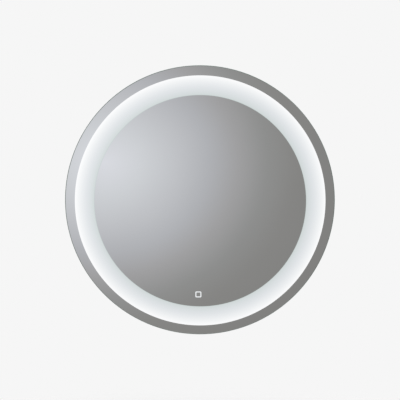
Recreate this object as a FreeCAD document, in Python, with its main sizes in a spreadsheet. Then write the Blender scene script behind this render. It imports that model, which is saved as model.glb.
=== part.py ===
"""Round lighted bathroom mirror hung on a two-part wall rail.

Frame: +Z is up, the mirror faces -Y, the wall is the plane y = 0 and the origin lies midway between
the two wall screw holes. Millimetres. A depth is a distance from the wall, so the depth d is y = -d.
Every body of the mirror is drawn about the centre of the glass and placed centre_drop below the
origin; the wall rail is drawn about its screw holes.
"""
import FreeCAD
import Part
import math
import os
import re
import PartDesign
import Sketcher
from FreeCAD import Vector

os.makedirs("parts", exist_ok=True)
doc = FreeCAD.newDocument("lighted_mirror")
sheet = doc.addObject("Spreadsheet::Sheet", "sizes")


# ---------------------------------------------------------------------------------------------
# Driving dimensions
# ---------------------------------------------------------------------------------------------
SIZES = {
    # overall
    "overall_depth": 40,          # wall to the front of the glass
    # glass
    "glass_diameter": 600,
    "glass_thickness": 5,
    "glass_arris": 1.2,           # polished bevel on both rims
    "rim_width": 21.4,            # mirrored rim outside the etched light ring
    "light_width": 43.3,
    "etch_depth": 0.2,
    "icon_size": 13.6,            # outside of the etched touch icon
    "icon_line": 2.2,
    "icon_corner": 2.4,
    "icon_left": 3.5,             # icon centre, left of the glass centre
    "icon_clearance": 26.1,       # icon centre above the inner edge of the light ring
    # tape between glass and frame
    "tape_thickness": 0.8,
    "tape_width": 8,
    # frame extrusion
    "frame_inset": 9,             # outside of the frame, in from the rim of the glass
    "frame_wall": 1.4,
    "front_flange": 10,           # width of the flange that the glass is bonded to
    "rear_flange": 14,            # width of the flange that the back panel is screwed to
    "channel_width": 10.4,        # between the two ribs that hold the LED strip
    "rib_height": 2.2,
    "rib_thickness": 1.2,
    "seam_gap": 0.3,
    "seam_screw_pitch": 11,
    # splice bar
    "splice_length": 60,
    "splice_thickness": 1.5,
    "splice_clearance": 0.2,
    # back panel
    "panel_metal": 1,
    "panel_clearance": 0.4,
    "bead_radius": 158,           # middle of the pressed stiffening bead
    "bead_width": 14,
    "bead_slope": 4,
    "bead_height": 2,
    "vent_count": 7,
    "vent_pitch": 12,
    "vent_width": 3,
    "vent_length": 16,
    "vent_drop": 122,
    # screws of the back panel
    "panel_screw_count": 8,
    "panel_screw_inset": 6.5,     # screw circle, inside the frame's inner wall
    "screw_shank": 1.4,
    "screw_head": 3.2,
    "screw_head_height": 1.9,
    "screw_length": 6,
    "screw_clearance": 0.3,
    "thread_clearance": 0.05,
    # hanging rails
    "rail_metal": 2,
    "hook_clearance": 0.6,        # total play of one lip in the other rail's hook
    "rest_gap": 0.2,
    "rail_inset": 117,            # wall screws, below the inner edge of the frame's rear flange
    "wall_screw_pitch": 240,
    "wall_screw_inset": 40,       # from the end of the wall rail
    "wall_flange_height": 18,
    "wall_screw_bore": 2.5,       # radius of the hole
    "lip_height": 12,
    "rail_overhang": 20,          # mirror rail past each end of the wall rail
    "mirror_flange_height": 18,
    "hook_drop": 11,
    # rivets
    "rivet_count": 4,
    "rivet_end": 15,              # from the end of the mirror rail
    "rivet_shank": 1.6,
    "rivet_head": 3.3,
    "rivet_head_height": 1,
    "rivet_tail": 2,
    # bumpers
    "bumper_radius": 9,
    "bumper_pitch": 300,
    "bumper_inset": 19,           # from the inner edge of the frame's rear flange
    "bumper_bore": 2.2,
    "bumper_sink": 4.4,
    "bumper_sink_depth": 4,
    "bumper_screw_length": 9,
    # LED strip
    "strip_width": 10,
    "strip_thickness": 0.4,
    "strip_glue": 0.25,
    "strip_break": 8,
    "led_count": 120,
    "led_length": 3.5,
    "led_width": 2.8,
    "led_height": 0.8,
    "solder_gap": 0.02,
    "resistor_count": 40,
    "resistor_length": 1.6,
    "resistor_width": 0.8,
    "resistor_height": 0.5,
    # demister
    "demister_radius": 150,
    "demister_thickness": 0.4,
    "demister_glue": 0.1,
    "lug_right": 107,
    "lug_drop": 78,
    "lug_width": 22,
    "lug_height": 14,
    "lug_thickness": 3,
    # touch sensor
    "sensor_width": 48,
    "sensor_height": 26,
    "sensor_depth": 8,
    "sensor_wall": 1.2,
    "sensor_pad": 0.6,
    "sensor_window": 18,
    "board_clearance": 0.4,
    "sensor_board_thickness": 1.2,
    "sensor_board_rise": 2.6,
    "indicator_length": 3.5,
    "indicator_height": 1.5,
    # driver
    "driver_left": 15,
    "driver_drop": 80,
    "driver_length": 150,
    "driver_width": 42,
    "driver_height": 20,
    "driver_wall": 1.6,
    "driver_corner": 3,
    "driver_ear": 11,
    "driver_ear_width": 20,
    "driver_board_rise": 3,
    "driver_board_thickness": 1.6,
    "coil_length": 26,
    "coil_width": 22,
    "coil_height": 11,
    "coil_waist": 2.5,
    "capacitor_radius": 4,
    "capacitor_height": 11,
    "capacitor_pitch": 12,
    "clamp_block_length": 8,
    "clamp_block_height": 9,
    "lead_hole": 1.6,
    "lead_gap": 0.1,              # between the end of a lead and what it is soldered to
    "lead_pitch": 8,
    # terminal box
    "terminal_right": 95,
    "terminal_rise": 10,
    "box_width": 64,
    "box_height": 50,
    "box_depth": 18,
    "box_wall": 1.6,
    "box_corner": 4,
    "box_ear": 8,
    "box_ear_width": 14,
    "opening_width": 56,
    "opening_height": 42,
    "cover_width": 84,
    "cover_height": 62,
    "cover_corner": 6,
    "cover_metal": 1,
    "block_height": 16,
    "block_depth": 12,
    "pole_count": 5,
    "pole_pitch": 8,
    "pole_screw": 2,
    "pole_entry": 3.2,
    "pole_entry_depth": 5,
    # supply entry
    "entry_rise": 11,             # grommet above the middle of the terminal box
    "entry_bore": 4,
    "entry_hole": 6.2,
    "entry_flange": 8.4,
    "entry_lip": 2.5,
    "entry_clearance": 0.1,
    # cord clamp
    "clamp_rise": 17,
    "clamp_length": 26,
    "clamp_width": 7,
    "clamp_thickness": 3,
    "clamp_height": 5,
    "clamp_arch": 4,
    "clamp_screw_pitch": 19,
    # earth stud
    "earth_right": 40,
    "earth_drop": 22,
    "stud_radius": 2,
    "stud_length": 10,
    "stud_head": 4,
    "washer_radius": 4.6,
    "washer_thickness": 0.6,
    "nut_flat": 7,
    "nut_height": 3.2,
    "earth_tag_radius": 4.4,
    "earth_tag_metal": 0.8,
    "earth_tag_length": 15,
    "stud_clearance": 0.15,
    # leads
    "lead_radius": 1.1,
    "thin_lead_radius": 0.8,
    "lead_bend": 9,
    "lug_lead_straight": 21,      # last straight run of a heating film lead
    "lug_lead_slope": 20,
    "tag_grip": 5,                # earth lead along its tag
    "tag_lead_slope": 12,
    "sensor_lead_pitch": 6,
    "sensor_lead_rise": 48,       # where the sensor's leads leave the panel, above the sensor
    "sensor_lead_run": 44,
    "strip_lead_pitch": 5,
    "strip_lead_straight": 26,    # below the middle of the sensor
    "strip_lead_slope": 28,
    "clip_width": 6,
    "clip_wall": 1.2,
    "clip_left": 113.5,           # clip of the sensor's leads, outside the bead
    "clip_drop": 142,
    "clip_pitch": 5,
}

for row, (alias, number) in enumerate(SIZES.items(), start=1):
    sheet.set(f"A{row}", alias)
    sheet.set(f"B{row}", str(number))
    sheet.setAlias(f"B{row}", alias)
doc.recompute()

# Places worked out from the sheet, as expressions of its names and of each other.
PLACES = {
    "frame_radius": "glass_diameter / 2 - frame_inset",
    "light_radius": "glass_diameter / 2 - rim_width",
    "icon_drop": "light_radius - light_width - icon_clearance",
    "centre_drop": "frame_radius - rear_flange - rail_inset",
    "stand_off": "4 * rail_metal + hook_clearance",
    "panel_inside": "stand_off + panel_metal",
    "glass_back": "overall_depth - glass_thickness",
    "frame_front": "glass_back - tape_thickness",
    "frame_inside": "frame_radius - frame_wall",
    "flange_inside": "panel_inside + frame_wall",
    "led_level": "(frame_front + panel_inside) / 2",
    "splice_rear": "led_level + channel_width / 2 + rib_thickness + splice_clearance",
    "splice_front": "frame_front - frame_wall - splice_clearance",
    "screw_circle": "frame_inside - panel_screw_inset",
    "strip_inside": "frame_inside - strip_glue - strip_thickness",
    "wall_lip_top": "wall_flange_height / 2 + lip_height",
    "wall_rail_length": "wall_screw_pitch + 2 * wall_screw_inset",
    "mirror_rail_length": "wall_rail_length + 2 * rail_overhang",
    "hook_web": "wall_lip_top + rest_gap",
    "rivet_pitch": "(mirror_rail_length - 2 * rivet_end) / (rivet_count - 1)",
    "rivet_row": "hook_web + rail_metal + mirror_flange_height / 2",
    "bumper_drop": "sqrt((frame_radius - rear_flange - bumper_inset) ^ 2 - (bumper_pitch / 2) ^ 2)",
    "first_pole": "terminal_right - pole_pitch * (pole_count - 1) / 2",
    "box_floor": "panel_inside + box_depth - box_wall",
    "lead_level": "box_floor - block_depth / 2",
    "sensor_front": "glass_back - sensor_pad",
    "sensor_rear": "sensor_front - sensor_depth",
    "sensor_board_rear": "sensor_rear + sensor_wall + sensor_board_rise",
    "lid_seat": "panel_inside + driver_height - driver_wall",
    "driver_board_rear": "panel_inside + driver_wall + driver_board_rise",
    "driver_parts": "driver_board_rear + driver_board_thickness",
}


# ---------------------------------------------------------------------------------------------
# Working functions
# ---------------------------------------------------------------------------------------------
def full(text):
    """Write an expression of plain size and place names as one that names the sheet's cells."""
    def spell(word):
        name = word.group(0)
        return f"({full(PLACES[name])})" if name in PLACES else f"sizes.{name}"

    return re.sub(r"[a-z]+_[a-z_]+", spell, text)


def value(text):
    """The present number of an expression of size names."""
    return float(sheet.evalExpression(full(text)))


def mirror_body(name):
    """A body drawn about the centre of the glass."""
    body = doc.addObject("PartDesign::Body", name)
    body.AllowCompound = True
    body.setExpression("Placement.Base.z", full("-centre_drop"))
    return body


def origin_part(body, role):
    """One of the body's own origin planes or axes."""
    return next(item for item in body.Origin.OriginFeatures if item.Role == role)


def sketch_on(body, role, level="0"):
    """An empty sketch on an origin plane, moved along the plane's normal.

    XZ_Plane looks at the wall: its level is a depth. XY_Plane has x and -depth, YZ_Plane -depth and z.
    """
    sketch = body.newObject("Sketcher::SketchObject", f"{body.Name}_sketch")
    sketch.AttachmentSupport = [(origin_part(body, role), "")]
    sketch.MapMode = "FlatFace"
    sketch.setExpression("AttachmentOffset.Base.z", full(level))
    return sketch


def fix_point(sketch, item, vertex, across, up):
    """Tie a vertex of a sketch to its two coordinates."""
    for kind, text in (("DistanceX", across), ("DistanceY", up)):
        number = sketch.addConstraint(
            Sketcher.Constraint(kind, -1, 1, item, vertex, value(text)))
        sketch.setExpression(f"Constraints[{number}]", full(text))


def outline(sketch, points):
    """Draw a closed outline of straight lines through the points."""
    first = sketch.GeometryCount
    corners = [Vector(value(across), value(up), 0) for across, up in points]
    for index, corner in enumerate(corners):
        following = corners[(index + 1) % len(corners)]
        sketch.addGeometry(Part.LineSegment(corner, following), False)
    for index, (across, up) in enumerate(points):
        following = first + (index + 1) % len(points)
        sketch.addConstraint(Sketcher.Constraint("Coincident", first + index, 2, following, 1))
        fix_point(sketch, first + index, 1, across, up)


def rectangle(sketch, across, up, width, height):
    """Draw a rectangle about its middle."""
    left, right = f"{across} - ({width}) / 2", f"{across} + ({width}) / 2"
    low, high = f"{up} - ({height}) / 2", f"{up} + ({height}) / 2"
    outline(sketch, [(left, low), (right, low), (right, high), (left, high)])


def circle(sketch, across, up, radius):
    """Draw a circle."""
    centre = Vector(value(across), value(up), 0)
    item = sketch.addGeometry(Part.Circle(centre, Vector(0, 0, 1), value(radius)), False)
    fix_point(sketch, item, 3, across, up)
    number = sketch.addConstraint(Sketcher.Constraint("Radius", item, value(radius)))
    sketch.setExpression(f"Constraints[{number}]", full(radius))


def slot(sketch, across, up, width, height):
    """Draw an upright slot with round ends about its middle."""
    half, reach = value(width) / 2, (value(height) - value(width)) / 2
    x, y = value(across), value(up)
    axis = Vector(0, 0, 1)
    top = Part.ArcOfCircle(Part.Circle(Vector(x, y + reach, 0), axis, half), 0, math.pi)
    low = Part.ArcOfCircle(Part.Circle(Vector(x, y - reach, 0), axis, half), math.pi, 2 * math.pi)
    sides = [Part.LineSegment(Vector(x - half, y + reach, 0), Vector(x - half, y - reach, 0)),
             Part.LineSegment(Vector(x + half, y - reach, 0), Vector(x + half, y + reach, 0))]
    first = sketch.GeometryCount
    for item in (top, sides[0], low, sides[1]):
        sketch.addGeometry(item, False)
    for index in range(4):
        following = first + (index + 1) % 4
        sketch.addConstraint(Sketcher.Constraint("Tangent", first + index, 2, following, 1))
    for item, sign in ((first, "+"), (first + 2, "-")):
        fix_point(sketch, item, 3, across, f"{up} {sign} ({height} - {width}) / 2")
    number = sketch.addConstraint(Sketcher.Constraint("Radius", first, half))
    sketch.setExpression(f"Constraints[{number}]", full(f"{width} / 2"))


def pad(body, sketch, length, reverse=False):
    """Pad a sketch along its normal: away from the wall for a sketch on XZ_Plane."""
    feature = body.newObject("PartDesign::Pad", f"{body.Name}_pad")
    feature.Profile = sketch
    feature.setExpression("Length", full(length))
    feature.Reversed = reverse
    doc.recompute()
    return feature


def pocket(body, sketch, length, reverse=False):
    """Pocket a sketch against its normal: towards the wall for a sketch on XZ_Plane."""
    before = body.Shape.Volume
    feature = body.newObject("PartDesign::Pocket", f"{body.Name}_pocket")
    feature.Profile = sketch
    feature.setExpression("Length", full(length))
    feature.Reversed = reverse
    doc.recompute()
    if body.Shape.Volume >= before:
        raise ValueError(f"{feature.Name} cuts nothing")
    return feature


def revolve(body, sketch, axis="V_Axis"):
    """Turn a profile fully about an axis of its own sketch."""
    feature = body.newObject("PartDesign::Revolution", f"{body.Name}_revolution")
    feature.Profile = sketch
    feature.ReferenceAxis = (sketch, [axis])
    feature.Angle = 360
    doc.recompute()
    return feature


def groove(body, sketch):
    """Cut a profile turned fully about the sketch's upright axis."""
    before = body.Shape.Volume
    feature = body.newObject("PartDesign::Groove", f"{body.Name}_groove")
    feature.Profile = sketch
    feature.ReferenceAxis = (sketch, ["V_Axis"])
    feature.Angle = 360
    doc.recompute()
    if body.Shape.Volume >= before:
        raise ValueError(f"{feature.Name} cuts nothing")
    return feature


def polar(body, features, count):
    """Repeat features about the body's own Y axis."""
    pattern = body.newObject("PartDesign::PolarPattern", f"{body.Name}_pattern")
    pattern.Originals = features
    pattern.Axis = (origin_part(body, "Y_Axis"), [""])
    pattern.Angle = 360
    pattern.setExpression("Occurrences", full(count))
    body.Tip = pattern
    doc.recompute()
    return pattern


def row_of(body, features, pitch, count, role="X_Axis"):
    """Repeat features along one of the body's axes."""
    pattern = body.newObject("PartDesign::LinearPattern", f"{body.Name}_pattern")
    pattern.Originals = features
    pattern.Direction = (origin_part(body, role), [""])
    pattern.setExpression("Length", full(f"({pitch}) * ({count} - 1)"))
    pattern.setExpression("Occurrences", full(count))
    body.Tip = pattern
    doc.recompute()
    return pattern


def round_depth_edges(body, radius, reach=None):
    """Fillet the edges that run along the depth, those within reach of the body's middle if given."""
    base = body.Tip
    names = []
    for index, edge in enumerate(base.Shape.Edges, start=1):
        if edge.Curve.TypeId != "Part::GeomLine" or len(edge.Vertexes) != 2:
            continue
        along = edge.tangentAt(edge.FirstParameter)
        if abs(along.y) > 0.999 and (reach is None or reach(edge.CenterOfMass)):
            names.append(f"Edge{index}")
    feature = body.newObject("PartDesign::Fillet", f"{body.Name}_fillet")
    feature.Base = (base, names)
    feature.setExpression("Radius", full(radius))
    doc.recompute()
    return feature


def tray(body, across, up, width, height, rear, depth, wall, corner, opens_front):
    """A rounded box open on one side, the floor and the walls equally thick."""
    rectangle_sketch = sketch_on(body, "XZ_Plane", rear)
    rectangle(rectangle_sketch, across, up, width, height)
    pad(body, rectangle_sketch, depth)
    round_depth_edges(body, corner)
    level = f"{rear} + {depth}" if opens_front else rear
    inside = sketch_on(body, "XZ_Plane", level)
    rectangle(inside, across, up, f"{width} - 2 * {wall}", f"{height} - 2 * {wall}")
    pocket(body, inside, f"{depth} - {wall}", reverse=not opens_front)


def board(name, across, up, width, height, rear, thickness):
    """A flat rectangular piece parallel to the wall."""
    body = mirror_body(name)
    sketch = sketch_on(body, "XZ_Plane", rear)
    rectangle(sketch, across, up, width, height)
    pad(body, sketch, thickness)
    return body


def turned(body, across, level, profile):
    """Revolve a profile of (radius, depth) about a line along the depth."""
    sketch = sketch_on(body, "XY_Plane", level)
    outline(sketch, [(f"{across} + {radius}", f"-({depth})") for radius, depth in profile])
    x = value(across)
    axis = sketch.addGeometry(Part.LineSegment(Vector(x, 0, 0), Vector(x, -10, 0)), True)
    fix_point(sketch, axis, 1, across, "0")
    fix_point(sketch, axis, 2, across, "-10")
    return revolve(body, sketch, "Axis0")


def pan_screw(body, across, level, seat, length="screw_length"):
    """A pan-head self-tapping screw driven from the wall side, its head resting on the seat depth."""
    return turned(body, across, level, [
        ("0", f"{seat} - screw_head_height"),
        ("0.7 * screw_head", f"{seat} - screw_head_height"),
        ("screw_head", seat),
        ("screw_shank", seat),
        ("screw_shank", f"{seat} + {length}"),
        ("0", f"{seat} + {length}"),
    ])


# ---------------------------------------------------------------------------------------------
# Glass and what is bonded to it
# ---------------------------------------------------------------------------------------------
def make_mirror_pane():
    """Float glass disc with polished arrises, light ring and touch icon etched into the back."""
    body = mirror_body("mirror_pane")
    rim = "glass_diameter / 2"
    profile = sketch_on(body, "XY_Plane")
    outline(profile, [
        ("0", "-glass_back"),
        (f"{rim} - glass_arris", "-glass_back"),
        (rim, "-(glass_back + glass_arris)"),
        (rim, "-(overall_depth - glass_arris)"),
        (f"{rim} - glass_arris", "-overall_depth"),
        ("0", "-overall_depth"),
    ])
    revolve(body, profile)
    ring = sketch_on(body, "XY_Plane")
    rectangle(ring, "light_radius - light_width / 2", "-(glass_back + etch_depth / 2)",
              "light_width", "etch_depth")
    groove(body, ring)
    icon = sketch_on(body, "XZ_Plane", "glass_back + etch_depth")
    for inset in ("0", "icon_line"):
        rectangle(icon, "-icon_left", "-icon_drop", f"icon_size - 2 * {inset}",
                  f"icon_size - 2 * {inset}")
    pocket(body, icon, "etch_depth")
    outside = value("icon_size / 2 - icon_line / 2")

    def at_outer_corner(point):
        across = abs(point.x + value("icon_left"))
        up = abs(point.z + value("icon_drop"))
        return across > outside and up > outside and across < value("icon_size")

    round_depth_edges(body, "icon_corner", at_outer_corner)


def make_bonding_tape():
    """Foam tape ring that bonds the glass to the frame's front flange."""
    body = mirror_body("bonding_tape")
    sketch = sketch_on(body, "XY_Plane")
    rectangle(sketch, "frame_radius - front_flange / 2", "-(glass_back - tape_thickness / 2)",
              "tape_width", "tape_thickness")
    revolve(body, sketch)


def make_demister_pad():
    """Self-adhesive heating film on the back of the glass."""
    body = mirror_body("demister_pad")
    sketch = sketch_on(body, "XZ_Plane", "glass_back - demister_glue - demister_thickness")
    circle(sketch, "0", "0", "demister_radius")
    pad(body, sketch, "demister_thickness")


def make_demister_lug():
    """Moulded cap over the two soldered tags of the heating film."""
    body = board("demister_lug", "lug_right", "-lug_drop", "lug_width", "lug_height",
                 "glass_back - demister_glue - demister_thickness - lug_thickness",
                 "lug_thickness")
    round_depth_edges(body, "lug_thickness / 2")


def make_sensor():
    """Touch sensor stuck behind the icon: adhesive pad, housing, board and indicator LED."""
    pad_body = board("sensor_pad", "-icon_left", "-icon_drop", "sensor_width", "sensor_height",
                     "sensor_front", "sensor_pad")
    window = sketch_on(pad_body, "XZ_Plane", "glass_back")
    rectangle(window, "-icon_left", "-icon_drop", "sensor_window", "sensor_window")
    pocket(pad_body, window, "sensor_pad")

    housing = mirror_body("sensor_housing")
    tray(housing, "-icon_left", "-icon_drop", "sensor_width", "sensor_height", "sensor_rear",
         "sensor_depth", "sensor_wall", "2 * sensor_wall", True)
    floor = "sensor_rear + sensor_wall"
    posts = sketch_on(housing, "XZ_Plane", floor)
    for side in ("-", "+"):
        circle(posts, f"-icon_left {side} sensor_width / 3", "-icon_drop", "1.6 * sensor_wall")
    pad(housing, posts, "sensor_board_rise")
    notch = sketch_on(housing, "XY_Plane", "-icon_drop")
    for across in ("icon_left", "icon_left - lead_pitch / 2"):
        circle(notch, across, "-(sensor_board_rear - sensor_wall)", "lead_hole")
    pocket(housing, notch, "sensor_height")

    board_body = board("sensor_board", "-icon_left", "-icon_drop",
                       "sensor_width - 2 * sensor_wall - 2 * board_clearance",
                       "sensor_height - 2 * sensor_wall - 2 * board_clearance",
                       "sensor_board_rear", "sensor_board_thickness")
    round_depth_edges(board_body, "2 * sensor_wall")
    lamp = board("sensor_led", "-icon_left", "-icon_drop", "indicator_length",
                 "indicator_length", "sensor_board_rear + sensor_board_thickness",
                 "indicator_height")
    round_depth_edges(lamp, "indicator_length / 8")


# ---------------------------------------------------------------------------------------------
# Casing
# ---------------------------------------------------------------------------------------------
def make_frame_ring():
    """Aluminium extrusion rolled round and butted at the bottom.

    From the front: bonding flange, splice channel, LED channel between two ribs, flange for the back
    panel with the rebate that the panel drops into.
    """
    body = mirror_body("frame_ring")
    rib_in = "frame_inside - rib_height"
    channel_rear = "led_level - channel_width / 2"
    channel_front = "led_level + channel_width / 2"
    profile = sketch_on(body, "XY_Plane")
    steps = [
        ("frame_radius", "stand_off"),
        ("frame_radius", "frame_front - frame_wall / 2"),
        ("frame_radius - frame_wall / 2", "frame_front"),
        ("frame_radius - front_flange", "frame_front"),
        ("frame_radius - front_flange", "frame_front - frame_wall"),
        ("frame_inside", "frame_front - frame_wall"),
        ("frame_inside", f"{channel_front} + rib_thickness"),
        (rib_in, f"{channel_front} + rib_thickness"),
        (rib_in, channel_front),
        ("frame_inside", channel_front),
        ("frame_inside", channel_rear),
        (rib_in, channel_rear),
        (rib_in, f"{channel_rear} - rib_thickness"),
        ("frame_inside", f"{channel_rear} - rib_thickness"),
        ("frame_inside", "flange_inside"),
        ("frame_radius - rear_flange", "flange_inside"),
        ("frame_radius - rear_flange", "panel_inside"),
        ("frame_inside", "panel_inside"),
        ("frame_inside", "stand_off"),
    ]
    outline(profile, [(radius, f"-({depth})") for radius, depth in steps])
    revolve(body, profile)
    hole = sketch_on(body, "XZ_Plane", "flange_inside")
    circle(hole, "screw_circle", "0", "screw_shank + thread_clearance")
    first_hole = pocket(body, hole, "frame_wall")
    polar(body, [first_hole], "panel_screw_count")
    seam = sketch_on(body, "XZ_Plane", "frame_front")
    rectangle(seam, "0", "-frame_radius", "seam_gap", "2 * rear_flange + 2 * frame_wall")
    pocket(body, seam, "frame_front - stand_off")


def make_splice():
    """Curved bar pushed into the splice channel across the seam, with its grub screws."""
    bar = mirror_body("splice_bar")
    outer = "frame_inside - splice_clearance"
    section = sketch_on(bar, "XY_Plane")
    rectangle(section, f"{outer} - splice_thickness / 2", "-(splice_rear + splice_front) / 2",
              "splice_thickness", "splice_front - splice_rear")
    revolve(bar, section)
    # only the stretch at the bottom is kept: the cut leaves out a strip as wide as the bar is long
    cut = sketch_on(bar, "XZ_Plane", "splice_front + 1")
    outline(cut, [
        ("-frame_radius", "-frame_radius"), ("-splice_length / 2", "-frame_radius"),
        ("-splice_length / 2", "0"), ("splice_length / 2", "0"),
        ("splice_length / 2", "-frame_radius"), ("frame_radius", "-frame_radius"),
        ("frame_radius", "frame_radius"), ("-frame_radius", "frame_radius"),
    ])
    pocket(bar, cut, "splice_front - splice_rear + 2")
    middle = "-((splice_rear + splice_front) / 2)"
    holes = sketch_on(bar, "XY_Plane", "-frame_radius")
    for step in ("-1.5", "-0.5", "0.5", "1.5"):
        circle(holes, f"{step} * seam_screw_pitch", middle, "screw_shank + thread_clearance")
    pocket(bar, holes, "2 * rear_flange", reverse=True)

    screws = mirror_body("splice_screws")
    # grub screws, their tips resting against the frame wall behind the bar
    tip = "-sqrt((frame_inside) ^ 2 - (1.5 * seam_screw_pitch) ^ 2)"
    drawn = sketch_on(screws, "XY_Plane", f"{tip} + splice_clearance")
    for step in ("-1.5", "-0.5", "0.5", "1.5"):
        circle(drawn, f"{step} * seam_screw_pitch", middle, "screw_shank")
    pad(screws, drawn, "2 * splice_thickness")


def make_back_panel():
    """White steel disc with a pressed stiffening bead, vents and the terminal opening."""
    body = mirror_body("back_panel")
    rim = "frame_inside - panel_clearance"
    foot_in = "bead_radius - bead_width / 2 - bead_slope"
    foot_out = "bead_radius + bead_width / 2 + bead_slope"
    top_in = "bead_radius - bead_width / 2"
    top_out = "bead_radius + bead_width / 2"
    rear = [("0", "stand_off"), (foot_in, "stand_off"), (top_in, "stand_off + bead_height"),
            (top_out, "stand_off + bead_height"), (foot_out, "stand_off"), (rim, "stand_off")]
    front = [(radius, f"{depth} + panel_metal") for radius, depth in reversed(rear)]
    profile = sketch_on(body, "XY_Plane")
    outline(profile, [(radius, f"-({depth})") for radius, depth in rear + front])
    revolve(body, profile)

    fixings = sketch_on(body, "XZ_Plane", "panel_inside")
    circle(fixings, "screw_circle", "0", "screw_shank + screw_clearance")
    first_hole = pocket(body, fixings, "panel_metal")
    polar(body, [first_hole], "panel_screw_count")

    holes = sketch_on(body, "XZ_Plane", "panel_inside")
    rectangle(holes, "terminal_right", "terminal_rise", "opening_width", "opening_height")
    for side in ("-", "+"):
        circle(holes, f"terminal_right {side} (box_width + box_ear) / 2", "terminal_rise",
               "screw_shank + screw_clearance")
        circle(holes, f"-driver_left {side} (driver_length + driver_ear) / 2", "-driver_drop",
               "screw_shank + thread_clearance")
        circle(holes, f"0 {side} bumper_pitch / 2", "-bumper_drop",
               "screw_shank + thread_clearance")
    circle(holes, "earth_right", "-earth_drop", "stud_radius + stud_clearance")
    pocket(body, holes, "panel_metal")

    rivets = sketch_on(body, "XZ_Plane", "panel_inside")
    circle(rivets, "-rivet_pitch * (rivet_count - 1) / 2", "centre_drop + rivet_row",
           "rivet_shank + thread_clearance")
    first_rivet = pocket(body, rivets, "panel_metal")
    row_of(body, [first_rivet], "rivet_pitch", "rivet_count")

    vent = sketch_on(body, "XZ_Plane", "panel_inside")
    slot(vent, "-vent_pitch * (vent_count - 1) / 2", "-vent_drop", "vent_width", "vent_length")
    first_vent = pocket(body, vent, "panel_metal")
    row_of(body, [first_vent], "vent_pitch", "vent_count")


def make_panel_screws():
    """Pan-head screws that hold the back panel to the frame."""
    body = mirror_body("panel_screws")
    screw = pan_screw(body, "screw_circle", "0", "stand_off")
    polar(body, [screw], "panel_screw_count")


def make_bumpers():
    """Two rubber stand-offs that keep the lower edge parallel to the wall, with their screws."""
    start = "-bumper_pitch / 2"
    bumpers = mirror_body("wall_bumpers")
    edge = "0.12 * bumper_radius"
    ring = turned(bumpers, start, "-bumper_drop", [
        ("bumper_sink", "0"),
        (f"bumper_radius - {edge}", "0"),
        ("bumper_radius", edge),
        ("bumper_radius", "stand_off"),
        ("bumper_bore", "stand_off"),
        ("bumper_bore", "bumper_sink_depth"),
        ("bumper_sink", "bumper_sink_depth"),
    ])
    row_of(bumpers, [ring], "bumper_pitch", "2")
    screws = mirror_body("bumper_screws")
    screw = pan_screw(screws, start, "-bumper_drop", "bumper_sink_depth", "bumper_screw_length")
    row_of(screws, [screw], "bumper_pitch", "2")


# ---------------------------------------------------------------------------------------------
# Hanging rails
# ---------------------------------------------------------------------------------------------
def make_wall_rail():
    """Steel rail screwed to the wall; its lip stands up in front of the mirror rail's hook."""
    body = doc.addObject("PartDesign::Body", "wall_rail")
    lip_rear = "2 * rail_metal + hook_clearance"
    shelf = "wall_flange_height / 2"
    profile = sketch_on(body, "YZ_Plane", "-wall_rail_length / 2")
    outline(profile, [
        ("0", f"-{shelf}"),
        ("-rail_metal", f"-{shelf}"),
        ("-rail_metal", f"{shelf} - rail_metal"),
        (f"-({lip_rear} + rail_metal)", f"{shelf} - rail_metal"),
        (f"-({lip_rear} + rail_metal)", "wall_lip_top"),
        (f"-({lip_rear})", "wall_lip_top"),
        (f"-({lip_rear})", shelf),
        ("0", shelf),
    ])
    pad(body, profile, "wall_rail_length")
    bores = sketch_on(body, "XZ_Plane", "rail_metal")
    for side in ("-", "+"):
        circle(bores, f"0 {side} wall_screw_pitch / 2", "0", "wall_screw_bore")
    pocket(body, bores, "rail_metal")


def make_mirror_rail():
    """Steel rail riveted to the back panel; its lip hangs down behind the wall rail's lip."""
    body = mirror_body("mirror_rail")
    lip_rear = "rail_metal + hook_clearance / 2"
    web = "centre_drop + hook_web"
    profile = sketch_on(body, "YZ_Plane", "-mirror_rail_length / 2")
    outline(profile, [
        (f"-({lip_rear})", f"{web} - hook_drop"),
        (f"-({lip_rear})", f"{web} + rail_metal"),
        ("-(stand_off - rail_metal)", f"{web} + rail_metal"),
        ("-(stand_off - rail_metal)", f"{web} + rail_metal + mirror_flange_height"),
        ("-stand_off", f"{web} + rail_metal + mirror_flange_height"),
        ("-stand_off", web),
        (f"-({lip_rear} + rail_metal)", web),
        (f"-({lip_rear} + rail_metal)", f"{web} - hook_drop"),
    ])
    pad(body, profile, "mirror_rail_length")
    bores = sketch_on(body, "XZ_Plane", "stand_off")
    circle(bores, "-rivet_pitch * (rivet_count - 1) / 2", "centre_drop + rivet_row",
           "rivet_shank + thread_clearance")
    first_bore = pocket(body, bores, "rail_metal")
    row_of(body, [first_bore], "rivet_pitch", "rivet_count")


def make_rail_rivets():
    """Blind rivets through the rail and the panel, the set tail inside."""
    body = mirror_body("rail_rivets")
    seat = "(stand_off - rail_metal)"
    rivet = turned(body, "-rivet_pitch * (rivet_count - 1) / 2", "centre_drop + rivet_row", [
        ("0", f"{seat} - rivet_head_height"),
        ("0.6 * rivet_head", f"{seat} - rivet_head_height"),
        ("rivet_head", seat),
        ("rivet_shank", seat),
        ("rivet_shank", "panel_inside"),
        ("0.8 * rivet_head", "panel_inside"),
        ("0.8 * rivet_head", "panel_inside + 0.6 * rivet_tail"),
        ("0", "panel_inside + rivet_tail"),
    ])
    row_of(body, [rivet], "rivet_pitch", "rivet_count")


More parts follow.
